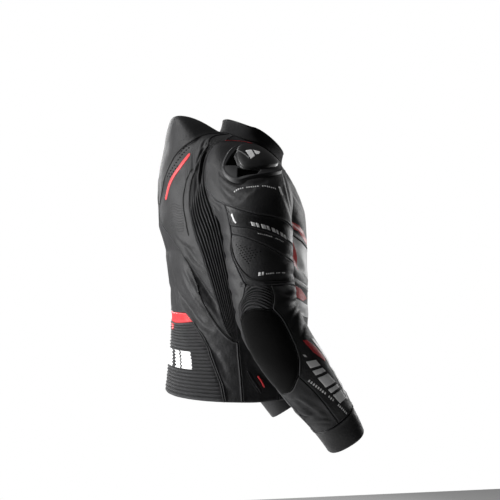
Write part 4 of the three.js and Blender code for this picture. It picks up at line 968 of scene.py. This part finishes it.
collar_end = lambda a: line(collar, 2, [a, COLLAR_HEIGHT], [a, 0])
cut("collar", collar, (collar_edge(COLLAR_HEIGHT), collar_edge(0), collar_end(-COLLAR_OPEN),
                       collar_end(COLLAR_OPEN)),
    lambda laid: seam_roll(laid.bottom) - 0.9 * np.exp(-((laid.edge("top", "left", "right") / 1.2) ** 2))
    + 0.8 * steps(0, 9, laid.top) * steps(0, 8, laid.bottom),
    COLLAR_KNIT, "collar_cloth", sides=BOTH)
zip_edge = zip_chest + zip_insert + zip_lower
cut("zip_tape", body, (b(1, [ZIP_EDGE, 0], [TURN - ZIP_EDGE, 0]), b(1, [ZIP_EDGE, HEM], [TURN - ZIP_EDGE, HEM]),
                       zip_edge, beyond_front(zip_edge)),
    lambda laid: -0.5 + 0 * laid.a, TAPE_WEAVE, "stretch_cloth", sides=BOTH, thick=STRETCH)


# ------------------------------------------------------------------ what lies on the cut pieces
class Path:
    """Points a pitch apart along seam lines: place, direction, outward normal and the way across."""

    def __init__(self, chart, chain, side, pitch):
        fine = read(chain, np.linspace(0, 1, 400))
        place = chart(fine[:, 0], fine[:, 1], side)
        far = np.concatenate([[0], np.cumsum(np.linalg.norm(np.diff(place, axis=0), axis=1))])
        self.side, self.length = side, far[-1]
        self.far = np.linspace(0, far[-1], max(4, int(round(far[-1] / pitch)) + 1))
        a, l = np.interp(self.far, far, fine[:, 0]), np.interp(self.far, far, fine[:, 1])
        self.p = chart(a, l, side)
        self.n = normals(lambda x, y: chart(x, y, side), a, l, chart.low, chart.high, chart.way)
        self.t = unit(np.gradient(self.p, axis=0))
        self.s = unit(np.cross(self.n, self.t))


def turned(points, faces, side):
    """The wearer's right is the mirror image of the left."""
    return (points * [-1, 1, 1], faces[:, ::-1]) if side == "R" else (points, faces)


def cord(path, radius, lift=0.0, across=0.0):
    """A round cord along a path: eight-sided rings about it, drawn in to a point at both ends."""
    turn = np.arange(8) * np.pi / 4
    size = radius * np.clip(np.minimum(path.far, path.length - path.far) / (1.5 * radius), 0.02, 1) ** 0.5
    centre = path.p + path.n * lift + path.s * across
    about = np.cos(turn)[None, :, None] * path.n[:, None] + np.sin(turn)[None, :, None] * path.s[:, None]
    points = (centre[:, None] + about * size[:, None, None]).reshape(-1, 3)
    caps = np.array([[0, 1, 2, 3], [0, 3, 4, 5], [0, 5, 6, 7]])
    last = (len(path.far) - 1) * 8
    faces = np.concatenate([quads(len(path.far), 8, closed=True)[:, ::-1], caps, (caps + last)[:, ::-1]])
    return turned(points, faces, path.side)


def thread(path, across, lift, long=2.6, radius=0.36):
    """A row of stitches: each a spindle of eight triangles, laid along the seam beside it."""
    turn = np.arange(4) * np.pi / 2 + np.pi / 4
    centre = path.p + path.n * lift + path.s * across
    about = np.cos(turn)[None, :, None] * path.n[:, None] + np.sin(turn)[None, :, None] * path.s[:, None]
    tips = centre[:, None] + path.t[:, None] * np.array([-0.5, 0.5])[None, :, None] * long
    points = np.concatenate([centre[:, None] + about * radius, tips], axis=1)
    k, after = np.arange(4), (np.arange(4) + 1) % 4
    one = np.concatenate([np.stack([k, after, k * 0 + 4], -1), np.stack([after, k, k * 0 + 5], -1)])
    faces = one[None] + np.arange(len(centre))[:, None, None] * 6
    return turned(points.reshape(-1, 3), faces.reshape(-1, 3), path.side)


def band(path, half, height=0.7, sink=0.6):
    """A narrow strip along a path: rounded across and at its ends, closed below."""
    across = np.array([-1, -0.9, -0.5, 0, 0.5, 0.9, 1, 0])
    up = np.array([-sink, height - 0.35, height - 0.05, height, height - 0.05, height - 0.35, -sink, -sink])
    half = np.asarray(half) * np.ones(len(path.far))
    near = np.clip(1 - np.minimum(path.far, path.length - path.far) / half, 0, 1)
    wide = (half * np.sqrt(np.clip(1 - near**2, 0.01, 1)))[:, None, None]
    points = path.p[:, None] + path.s[:, None] * across[None, :, None] * wide + path.n[:, None] * up[None, :, None]
    caps = np.array([[0, 1, 2, 7], [7, 2, 3, 4], [7, 4, 5, 6]])
    last = (len(path.far) - 1) * 8
    faces = np.concatenate([quads(len(path.far), 8, closed=True)[:, ::-1], caps, (caps + last)[:, ::-1]])
    return turned(points.reshape(-1, 3), faces, path.side)


def lens(top, foot, out):
    """A closed flat body: rings of points drawn in to a middle above, a rim, and a plain fan below."""
    rows, columns = top.shape[:2]
    many = rows * columns
    round_rim = np.arange(columns)
    after = np.roll(round_rim, -1)
    rim = np.stack([round_rim, round_rim + many, after + many, after], -1)
    fan = np.stack([round_rim + many, after * 0 + many + columns, after + many], -1)
    inner, k = (rows - 1) * columns, np.arange(1, columns - 2, 2)
    cap = np.stack([k * 0, k, k + 1, k + 2], -1) + inner
    faces = np.concatenate([halved(f) for f in (quads(rows, columns, closed=True), cap, rim, fan)])
    points = np.concatenate([top.reshape(-1, 3), foot[0], foot[-1].mean(0, keepdims=True)])
    first = points[[0, 1, columns]]
    if np.dot(np.cross(first[1] - first[0], first[2] - first[0]), out[0, 0]) < 0:
        faces = faces[:, ::-1]
    return points, faces


def badge(piece, outline, lift=0.4, step=2.8, sink=0.5):
    """A thin flat shape on a made piece: its outline of chart points is drawn in towards their middle in
    rings, laid
    on the piece's face and raised."""
    laid, corners = pieces[piece], np.array(outline, float)
    scale = np.array([laid.chart.degree, 1.0])
    after = np.roll(corners, -1, axis=0)
    cells = np.maximum(1, np.ceil(np.linalg.norm((after - corners) * scale, axis=1) / step)).astype(int)
    cells[0] += cells.sum() % 2
    rim = np.concatenate([c + (d - c) * (np.arange(n) / n)[:, None] for c, d, n in zip(corners, after, cells)])
    middle = corners.mean(0)
    reach = np.linalg.norm((corners - middle) * scale, axis=1).max()
    shares = np.linspace(1, 0.04, max(3, int(reach / step) + 2))
    spots = middle + (rim - middle) * shares[:, None, None]
    face, out = laid.on(*laid.shares(spots[..., 0], spots[..., 1]))
    return turned(*lens(face + out * lift, face - out * sink, out), laid.side)


def pricks(piece, spots, wide=1.9, tall=1.15):
    """Punched holes: small six-sided lenses let into a made piece's face at chart points, dark with painted shade
    for the holes' depth.
    """
    laid, spots = pieces[piece], np.asarray(spots, float)
    place, out = laid.on(*laid.shares(spots[:, 0], spots[:, 1]))
    one = unit(np.cross(out, [0, 0, 1.0]))
    other = np.cross(out, one)
    turn = np.arange(6) * np.pi / 3
    rim = (place[:, None] + wide * np.cos(turn)[None, :, None] * one[:, None]
           + tall * np.sin(turn)[None, :, None] * other[:, None])
    points = np.concatenate([rim, (place + out * 0.3)[:, None], (place - out * 0.5)[:, None]], axis=1)
    k, after = np.arange(6), (np.arange(6) + 1) % 6
    one_hole = np.concatenate([np.stack([k, after, k * 0 + 6], -1), np.stack([after, k, k * 0 + 7], -1)])
    faces = one_hole[None] + np.arange(len(spots))[:, None, None] * 8
    return turned(points.reshape(-1, 3), faces.reshape(-1, 3), laid.side)


def lay(name, parts, material, slot, sides=SIDES):
    """Makes one piece for each side of what a function of the side gives as a list of points and faces."""
    for side in sides:
        full = name if side == "both" else f"{name}_{side}"
        dress(mesh(full, *joined(parts(side)), [material]), slot=slot)


def marks(name, piece, outlines, material, slot, **shape):
    """The same badges on both sides of a piece that is cut in pairs."""
    lay(name, lambda side: [badge(f"{piece}_{side}", outline, **shape) for outline in outlines], material, slot)


def slanted(start, end, across, count, share, shear):
    """Slanted blocks in a row: each a share of its cell long, between two chart points, across the row and
    sheared."""
    start, end, across, shear = map(np.array, (start, end, across, shear))
    cell = (end - start) / count
    blocks = []
    for k in range(count):
        foot = start + cell * k
        long = cell * (share[k % len(share)])
        blocks.append([foot, foot + across + shear, foot + across + shear + long, foot + long])
    return blocks


# ------------------------------------------------------------------ shoulder cups
CUP_MIDDLE = np.array([88.0, 36.0])
CUP_EDGE = [[60, 16], [46, 34], [38, 49], [45, 62], [60, 69], [80, 67], [102, 62], [122, 52], [136, 36],
            [134, 16],
            [112, 6], [84, 8]]
SHELL_EDGE = [[66, 18], [59.5, 33], [61.5, 50], [72, 56.5], [92, 55.5], [108, 49], [122, 38], [126, 22],
              [110, 11],
              [84, 11]]
VENT = [[63, 23], [45, 46.5], [61, 50.5], [57.5, 36]]
SLOT = [[60, 53.5], [93, 56.5], [88, 61.5], [58.5, 64]]
SPINE = [[61, 30], [77, 45]]
CUP_DEGREE, CUP_RUN = 1.45, 1.4  # mm to a degree and to a step of run on the top of the shoulder


def closed(outline, count):
    """The smooth closed curve through points, read at as many places."""
    many = len(outline)
    rows = [[k, *outline[k % many]] for k in range(-2, many + 3)]
    return through(rows, np.arange(count) / count * many)


def inside(outline, a, l):
    """How far inside a closed outline points of the shoulder lie, in millimetres; below nought outside it."""
    start = np.array(outline, float) * [CUP_DEGREE, CUP_RUN]
    along = np.roll(start, -1, axis=0) - start
    x, y = a[..., None] * CUP_DEGREE - start[:, 0], l[..., None] * CUP_RUN - start[:, 1]
    t = np.clip((x * along[:, 0] + y * along[:, 1]) / (along**2).sum(-1), 0, 1)
    far = np.hypot(x - t * along[:, 0], y - t * along[:, 1]).min(-1)
    level = np.where(np.abs(along[:, 1]) < 1e-9, 1e-9, along[:, 1])
    crossed = ((y < 0) != (y < along[:, 1])) & (x < along[:, 0] * y / level)
    return np.where(crossed.sum(-1) % 2 == 1, far, -far)


def hollow(a, l):
    """One in the vent and the slot of the cup, nought outside them."""
    return np.maximum(steps(-0.8, 1.6, inside(VENT, a, l)), steps(-0.8, 1.6, inside(SLOT, a, l)))


def base_height(a, l):
    """The rubber base: a rolled rim round a plateau, with the vent and the slot sunk into it."""
    far = inside(closed(CUP_EDGE, 96), a, l)
    plateau = 0.6 + 3.6 * steps(0, 4.5, far) + 1.1 * np.exp(-(((far - 3.5) / 1.8) ** 2))
    return plateau - (plateau - 0.4) * hollow(a, l)


def shell_height(a, l):
    """The hard shell: steep sides, a flatter shoulder and a slanting top, met in soft edges, with one
    raised spine."""
    far = inside(closed(SHELL_EDGE, 96), a, l)
    x, y = (a - CUP_MIDDLE[0]) * CUP_DEGREE, (l - CUP_MIDDLE[1]) * CUP_RUN
    planes = np.stack([4.4 + 1.7 * far, 7.4 + 0.42 * far, 12.6 - 0.0017 * x * x - 0.0030 * y * y + 0.03 * y])
    soft = 0.5
    lowest = -soft * np.log(np.exp(-planes / soft).sum(0))
    foot, tip = np.array(SPINE, float) * [CUP_DEGREE, CUP_RUN]
    along = tip - foot
    px, py = a * CUP_DEGREE - foot[0], l * CUP_RUN - foot[1]
    t = np.clip((px * along[0] + py * along[1]) / (along**2).sum(), 0, 1)
    spine = np.exp(-((np.hypot(px - t * along[0], py - t * along[1]) / 1.5) ** 2))
    return lowest + 1.3 * spine


def moulding(name, outline, height, foot, material, node_name, slot, around=200, rings=60):
    """A closed moulding on each shoulder: rings of its outline drawn in to its middle and raised by a
    height."""
    for side in SIDES:
        rim = closed(outline, around)
        spots = CUP_MIDDLE + (rim - CUP_MIDDLE) * np.linspace(1, 0.015, rings)[:, None, None]
        a, l = spots[..., 0], spots[..., 1]
        p = sleeve_plain(a, l)
        n = normals(sleeve_plain, a, l, 0, CUFF_END, 1)
        points, faces = turned(*lens(p + n * height(a, l)[..., None], p + n * foot, n), side)
        dress(mesh(f"{name}_{side}", points, faces, [material]), f"{node_name}_{side}", slot=slot)


moulding("cup_mount", CUP_EDGE, base_height, -2.2, CUP_RUBBER, "cup_base", "cup_rubber")
moulding("cup_cover", SHELL_EDGE, shell_height, 3.4, CUP_GLOSS, "cup_shell", "cup_shell")


def on_cup(outline, side, height=shell_height):
    """A thin badge on the cup, following a height over the sleeve: that of the hard shell where none is
    given."""
    corners = np.array(outline, float)
    after = np.roll(corners, -1, axis=0)
    rim = np.concatenate([c + (d - c) * (np.arange(6) / 6)[:, None] for c, d in zip(corners, after)])
    middle = corners.mean(0)
    spots = middle + (rim - middle) * np.linspace(1, 0.04, 8)[:, None, None]
    a, l = spots[..., 0], spots[..., 1]
    p, n = sleeve_plain(a, l), normals(sleeve_plain, a, l, 0, CUFF_END, 1)
    h = height(a, l)[..., None]
    return turned(*lens(p + n * (h + 0.35), p + n * (h - 0.4), n), side)


lay("cup_mark", lambda side: [on_cup([[72, 33], [82, 31], [86, 42], [79, 47]], side),
                              on_cup([[85, 31], [94, 33], [92, 38], [88.5, 39]], side)], PRINT_WHITE,
                              "white_leather")
# Flat dark plates over the sunk vent and slot: painted shade of the recesses.
lay("cup_vents", lambda side: [on_cup(outline, side, lambda a, l: 0.9 + 0 * a) for outline in (VENT, SLOT)],
    HOLE_SHADE,
    "cup_rubber")

# ------------------------------------------------------------------ the back
lay("back_stripe", lambda side: [band(Path(body, b(1, *through([[0, 34.5, -67], [1, 26.8, -91], [2, 20, -116],
                                                              [3, 13, -152]], np.linspace(0, 3, 13))), side,
                                                              2.0), 4.6, height=1.0)], RED_HIDE, "red_leather")


def grid_of(outline, across, down):
    """Places inside an outline of chart points, in rows down apart and across apart in a row, every other
    row shifted
    by half."""
    corners = np.array(outline, float)
    low, high = corners.min(0), corners.max(0)
    row, column = np.meshgrid(np.arange((high[1] - low[1]) / down), np.arange((high[0] - low[0]) / across),
                              indexing="ij")
    a, l = low[0] + across * (column + row % 2 / 2), low[1] + down * row
    kept = inside(outline, a, l) > 0
    return np.stack([a[kept], l[kept]], -1)


# Dark lenses in rows: painted shade of the punched holes' depth.
lay("back_pricks", lambda side: [pricks(f"back_{side}",
                                        grid_of([[29, -52], [33, -56], [27, -80], [22, -100], [17, -117],
                                                 [13.5, -116], [17, -100], [22, -80]], 2.9, 4.8), 2.7, 1.6)],
    HOLE_SHADE, "black_leather")
lay("arm_pricks", lambda side: [pricks(f"arm_panel_{side}",
                                       grid_of([[38, 144], [84, 172], [60, 192], [53, 188]], 5.6, 4.6), 1.7,
                                       1.0)],
    HOLE_SHADE, "black_leather")


def wavy(start, end, bow):
    """Three chart points from start to end with the middle moved down by a bow."""
    (a, l), (c, m) = start, end
    return b(1, [a, l], [(2 * a + c) / 3, (2 * l + m) / 3 + bow], [(a + 2 * c) / 3, (l + 2 * m) / 3 - bow],
             [c, m])


lay("back_ridges", lambda side: [cord(Path(body, wavy([20 - 0.2 * k, -160 - 4.8 * k],
                                                      [33.5 + 0.1 * k, -158 - 4.8 * k], 1.6),
                                           side, 2.5), 0.95, lift=-0.25) for k in range(11)], BLACK_HIDE,
                                           "black_leather")
lay("shoulder_accent", lambda side: [cord(Path(body,
                                               b(1, [63.5, -21], [69.5, -13.5], [76, -8], [84, -5],
                                                 [93, -5]), side, 2.0),
                                          1.25, lift=0.5)], RED_HIDE, "red_leather")

# ------------------------------------------------------------------ the sleeves
def ticks(start, end, count, tall, long, gaps=()):
    """Short printed dashes in a row between two chart points, with some left out."""
    start, end = np.array(start, float), np.array(end, float)
    way = end - start
    square = np.array([-way[1], way[0] * 1.3])
    square = square / np.hypot(square[0] * 1.15, square[1]) * tall
    rows = []
    for k in range(count):
        if k not in gaps:
            foot = start + way * k / count
            rows.append([foot, foot + square, foot + square + way / count * long, foot + way / count * long])
    return rows


marks("shoulder_dashes", "shoulder", ticks([50, 74], [118, 73], 20, 1.3, 0.45, gaps=(5, 12))
      + [[[122, 69], [126, 68], [132, 76], [127, 77]]], PRINT_WHITE, "white_leather")
marks("band_slash", "arm_band", [[[38, 93], [40.6, 92.4], [48.4, 105.5], [45.8, 106.5]]], PRINT_WHITE,
      "white_leather", lift=0.6)
BAND_BLOCKS = slanted([72, 112.5], [134, 138.5], [-2.4, 7.0], 8, (0.78, 0.52), [4.0, 1.2])
marks("band_blocks", "arm_band", BAND_BLOCKS, PRINT_WHITE, "white_leather")
marks("band_dashes", "arm_strip", ticks([82, 136.5], [126, 152], 16, 1.3, 0.5, gaps=(8, 9)), PRINT_WHITE,
      "white_leather")
marks("panel_dashes", "arm_panel", ticks([88, 213], [124, 213], 13, 2.2, 0.55, gaps=(5, 9))
      + [[[76, 210], [80.5, 210], [79.5, 216], [75, 216]], [[82, 210], [85, 210], [84, 216], [81, 216]]],
      PRINT_WHITE, "white_leather")
marks("forearm_wedge", "forearm_front", [[[119, 364], [128, 368], [141, 394], [148, 422], [142, 426],
                                          [126, 396]]],
      RED_HIDE, "red_leather", lift=0.5)
FOREARM_BLOCKS = [
    [[103, 385], [107, 389], [108, 395], [104, 391]],
    [[101, 400], [121, 410], [123, 424], [101, 415]],
    [[101, 421], [124, 430], [126, 440], [102, 432]],
    [[102, 438], [127, 446], [133, 470], [105, 463]],
    [[106, 469], [134, 476], [136, 485], [108, 479]],
    [[109, 485], [137, 491], [142, 514], [114, 509]],
]
marks("forearm_blocks", "forearm_front", FOREARM_BLOCKS, PRINT_WHITE, "white_leather", lift=0.5)
marks("forearm_dashes", "forearm_front", ticks([88.5, 430], [119, 540], 20, 5.0, 0.55, gaps=(8, 12, 13)),
      PRINT_WHITE, "white_leather")
marks("forearm_edge", "forearm_front", [[[144, 372], [156, 380], [163, 420], [160, 470], [150, 520], [143, 520],
                                         [150, 470], [152, 430], [152, 402]]], WHITE_HIDE, "white_leather",
                                         lift=0.5)

# ------------------------------------------------------------------ the waist and the front
lay("waist_tab", lambda side: [badge("waist_ribs", [[-3.2, -399.5], [3.2, -399.5], [2.6, -413],
                                                    [-2.6, -413]], lift=0.8, step=1.3)],
    RED_HIDE, "red_leather", sides=BOTH)
WAIST_BLOCKS = slanted([-39, -492], [43, -494], [0, 38], 5, (0.84, 0.5, 0.84, 0.66, 0.84), [4.5, 0])
lay("waist_blocks", lambda side: [badge("waist_ribs", block, lift=0.5, step=1.7) for block in WAIST_BLOCKS],
    PRINT_WHITE,
    "white_leather", sides=BOTH)
marks("chest_chevron", "chest", [[[118, -164], [134, -170], [152, -196], [174, -206], [174, -217], [150, -207],
                                  [131, -183], [117, -178]]], RED_HIDE, "red_leather")
marks("insert_wedge", "chest_insert", [[[115.5, -200], [124, -212], [131, -248], [133, -276], [124, -262],
                                        [115, -232]]],
      RED_HIDE, "red_leather")
marks("insert_slant", "chest_insert", [[[114.5, -238], [128, -262], [150, -290], [174, -304], [174, -320],
                                        [148, -309],
                                        [126, -292], [114, -262]]], SMOOTH_HIDE, "black_leather")
marks("front_wedge", "front", [[[114, -300], [136, -318], [150, -340], [140, -345], [113, -324]],
                               [[112.5, -350], [128, -372], [140, -408], [131, -404], [112, -380]]],
                               RED_HIDE, "red_leather")
marks("front_slant", "front", [[[113, -328], [142, -350], [174, -368], [174, -392], [142, -380],
                                [112.5, -346]]], WHITE_HIDE,
      "white_leather")

# ------------------------------------------------------------------ zips
TOOTH = 2.8  # pitch of the zip's teeth


def teeth(path, across, lift, wide=2.4, long=1.5, high=1.3):
    """A row of small blocks along a path, each narrower at its top."""
    corner = np.array([[-1, -1], [1, -1], [1, 1], [-1, 1]]) / 2
    low = path.p[:, None] + path.s[:, None] * (across + corner[None, :, :1]
                                               * wide) + path.t[:, None] * corner[None, :, 1:] * long
    top = path.p[:, None] + path.s[:, None] * (across + corner[None, :, :1] * wide * 0.8) \
        + path.t[:, None] * corner[None, :, 1:] * long * 0.7 + path.n[:, None] * high
    points = np.concatenate([low, top], axis=1) + path.n[:, None] * lift
    one = np.array([[4, 5, 6, 7], [3, 2, 1, 0], [0, 1, 5, 4], [1, 2, 6, 5], [2, 3, 7, 6],
                    [3, 0, 4, 7]])[:, ::-1]
    faces = one[None] + np.arange(len(path.far))[:, None, None] * 8
    return turned(points.reshape(-1, 3), faces.reshape(-1, 4), path.side)


lay("front_teeth", lambda side: [teeth(Path(body, b(1, [180, -34], [180, HEM + 4]), "both", TOOTH),
                                       way * 1.1, -0.6)
                                 for way in (-1, 1)], ZIP_METAL, "zip_metal", sides=BOTH)
POCKET = [[86, -492], [89.5, -514], [93.5, -536]]
lay("pocket_tape", lambda side: [band(Path(body, b(1, *POCKET), side, 3.0), 5.5, height=0.9)], TAPE_WEAVE,
    "stretch_cloth")
lay("pocket_teeth", lambda side: [teeth(Path(body, b(1, *POCKET), side, TOOTH), 0, 0.7)], ZIP_METAL,
    "zip_metal")
lay("pocket_puller", lambda side: [cord(Path(body, b(1, [91.5, -501], [94, -513], [96, -526]), side, 2.5),
                                        2.0, lift=2.0)],
    RED_HIDE, "red_leather")
for thing in bpy.data.objects:
    if thing.name in ("zip_slider", "zip_pull"):
        thing.data.materials.clear()
        thing.data.materials.append(ZIP_METAL)

# ------------------------------------------------------------------ seams: threads, piping, bindings
FAR, LIFT = 2.7, 0.95  # how far from the seam a row of stitches runs, on the welt's top
THREAD_PITCH = 3.4
body_rows = {"hump": hump_edge, "gusset_back": gusset_back, "gusset_front": gusset_front,
             "back": centre_back + back_seam,
             "hip_front": hip_front, "hip_back": hip_back, "band_top": band_top + band_slant,
             "band_foot": band_foot, "chest_neck": chest_neck, "side_front": side_front, "chest": chest_seam,
             "insert": insert_seam, "zip": zip_edge, "armhole": armhole(1, -90, 270)}
sleeve_rows = {"rear": whole(rear_seam), "elbow": whole(elbow_seam), "fore": whole(fore_seam),
               "shoulder": shoulder_seam,
               "band": band_seam, "strip": strip_seam, "arm": arm_elbow + arm_fore, "patch_top": patch_top,
               "patch_foot": patch_foot, "cuff": sum(around(CUFF_SEAM), []), "inner": inner_seam(REAR_SEAM),
               "cap": cap_top(1, REAR_SEAM, REAR_SEAM + TURN)}


def rows_of(chart, rows, side):
    return [thread(Path(chart, chain, side, THREAD_PITCH), way * FAR, LIFT) for chain in rows.values()
            for way in (-1, 1)]


lay("body_threads", lambda side: rows_of(body, body_rows, side), THREAD, "black_leather")
lay("sleeve_threads", lambda side: rows_of(sleeve, sleeve_rows, side), THREAD, "black_leather")
PIPING = [(hip_back, 1.7, -2.2), (hip_back, 1.5, 2.4), (hip_front, 1.5, 2.2), (hip_front, 1.3, -2.2)]
lay("hip_piping", lambda side: [cord(Path(body, chain, side, 3.0), r, lift=0.8, across=way) for chain, r,
                                way in PIPING],
    BLACK_HIDE, "black_leather")
BLADE_LINE = b(1, *through([[0, 41, -92], [1, 34.5, -116], [2, 32.6, -149], [3, 35.6, -185], [4, 38.5, -216]],
                           np.linspace(0, 4, 17)))
lay("dark_piping", lambda side: [cord(Path(body, chain, side, 3.0), r, lift=0.1) for chain, r in
                                 ((hump_edge, 1.9), (gusset_back, 1.4), (back_seam, 1.1),
                                  (gusset_front[:1], 1.4),
                                  (BLADE_LINE, 1.2))]
    + [thread(Path(body, BLADE_LINE, side, THREAD_PITCH), -3.0, 0.1)],
    DARK_PIPING, "black_leather")
lay("elbow_piping", lambda side: [cord(Path(sleeve, elbow_seam["ribs"] + elbow_seam["patch"], side, 2.5),
                                       1.9, lift=1.2,
                                       across=-1.6),
                                  cord(Path(sleeve, elbow_seam["patch"], side, 2.5), 1.2, lift=0.6,
                                       across=-6.5),
                                  cord(Path(sleeve, patch_foot, side, 2.5), 1.4, lift=0.8, across=1.5)],
                                  BLACK_HIDE,
    "black_leather")
PANEL_WELT = [[33, 128], [30, 150], [36, 180], [48, 203], [60, 217], [76, 226], [100, 230], [140, 232]]
lay("panel_welt", lambda side: [cord(Path(sleeve, s(1, *PANEL_WELT), side, 2.5), 1.5, lift=0.2),
                                thread(Path(sleeve, s(1, *PANEL_WELT), side, THREAD_PITCH), 3.2, 0.25)],
                                DARK_PIPING,
    "black_leather")
lay("armhole_piping", lambda side: [cord(Path(body, armhole(1, -90, 270), side, 3.0), 1.3, lift=0.3)],
    BLACK_HIDE, "black_leather")
lay("collar_binding", lambda side: [cord(Path(collar,
                                              line(collar, 1, [-COLLAR_OPEN, 1],
                                                   [-COLLAR_OPEN, COLLAR_HEIGHT - 0.5])
                                              + line(collar, 20, [-COLLAR_OPEN, COLLAR_HEIGHT - 0.5],
                                                     [COLLAR_OPEN, COLLAR_HEIGHT - 0.5])
                                              + line(collar, 1, [COLLAR_OPEN, COLLAR_HEIGHT - 0.5],
                                                     [COLLAR_OPEN, 1]),
                                              side, 2.5), 1.7, lift=-0.6)], SMOOTH_HIDE, "black_leather",
                                              sides=BOTH)


# ------------------------------------------------------------------ stage
def stage():
    """A pale floor far below and four soft lights: the key behind at the level of the neck, a weak one in
    front on
    the wearer's left, one above and behind, and a weak one on the wearer's far side."""
    floor = bpy.data.meshes.new("floor")
    reach, ground = 3.0, -1.45
    floor.from_pydata([(-reach, -reach, ground), (reach, -reach, ground), (reach, reach, ground),
                       (-reach, reach, ground)], [], [(0, 1, 2, 3)])
    pale, tree, shader = finish("pale_floor", "f0f0f0", Roughness=0.7)
    where = node(tree, "ShaderNodeTexCoord").outputs["Object"]
    cast = node(tree, "ShaderNodeTexNoise", {"Scale": 3.0}, {"Vector": where})
    shade(tree, shader, "ededed", "f3f3f3", cast.outputs["Fac"])
    floor.materials.append(pale)
    ground_piece = bpy.data.objects.new("floor", floor)
    bpy.context.scene.collection.objects.link(ground_piece)

    world = bpy.data.worlds.new("studio")
    bpy.context.scene.world = world
    world.use_nodes = True
    tree = world.node_tree
    seen = node(tree, "ShaderNodeLightPath").outputs["Is Camera Ray"]
    dim, bright = tree.nodes["Background"], node(tree, "ShaderNodeBackground", {"Color": (1, 1, 1, 1)})
    dim.inputs["Color"].default_value, dim.inputs["Strength"].default_value = (1, 1, 1, 1), 0.03
    mixed = node(tree, "ShaderNodeMixShader", {}, {"Fac": seen})
    tree.links.new(dim.outputs[0], mixed.inputs[1])
    tree.links.new(bright.outputs[0], mixed.inputs[2])
    tree.links.new(mixed.outputs[0], tree.nodes["World Output"].inputs["Surface"])

    # name, place, size, power
    lights = [
        ("key", (0.0, 2.9, -0.1), 1.3, 135),
        ("edge", (1.6, -2.2, 0.2), 1.2, 35),
        ("top", (0.15, 1.75, 2.3), 0.6, 75),
        ("far_side", (2.3, 0.7, 0.6), 1.4, 35),
    ]
    for name, place, size, watts in lights:
        light = bpy.data.lights.new(name, "AREA")
        light.shape, light.size, light.energy = "DISK", size, watts
        lamp = bpy.data.objects.new(name, light)
        lamp.location = place
        lamp.rotation_euler = (Vector((0, 0, -0.28)) - Vector(place)).to_track_quat("-Z", "Y").to_euler()
        bpy.context.scene.collection.objects.link(lamp)


def camera():
    """Level, from the wearer's right and slightly behind, at the distance of a portrait lens."""
    turn = math.radians(-102)
    back = Vector((math.sin(turn), -math.cos(turn), 0))
    right = Vector((math.cos(turn), math.sin(turn), 0))
    target = right * 0.027 + Vector((0, 0, -0.236))
    lens = bpy.data.cameras.new("camera")
    lens.lens, lens.sensor_width = 85, 36
    seen_from = bpy.data.objects.new("camera", lens)
    seen_from.location = target + back * 2.66
    seen_from.rotation_euler = (-back).to_track_quat("-Z", "Y").to_euler()
    bpy.context.scene.collection.objects.link(seen_from)
    bpy.context.scene.camera = seen_from
    bpy.context.scene.view_settings.view_transform = "Standard"


stage()
camera()
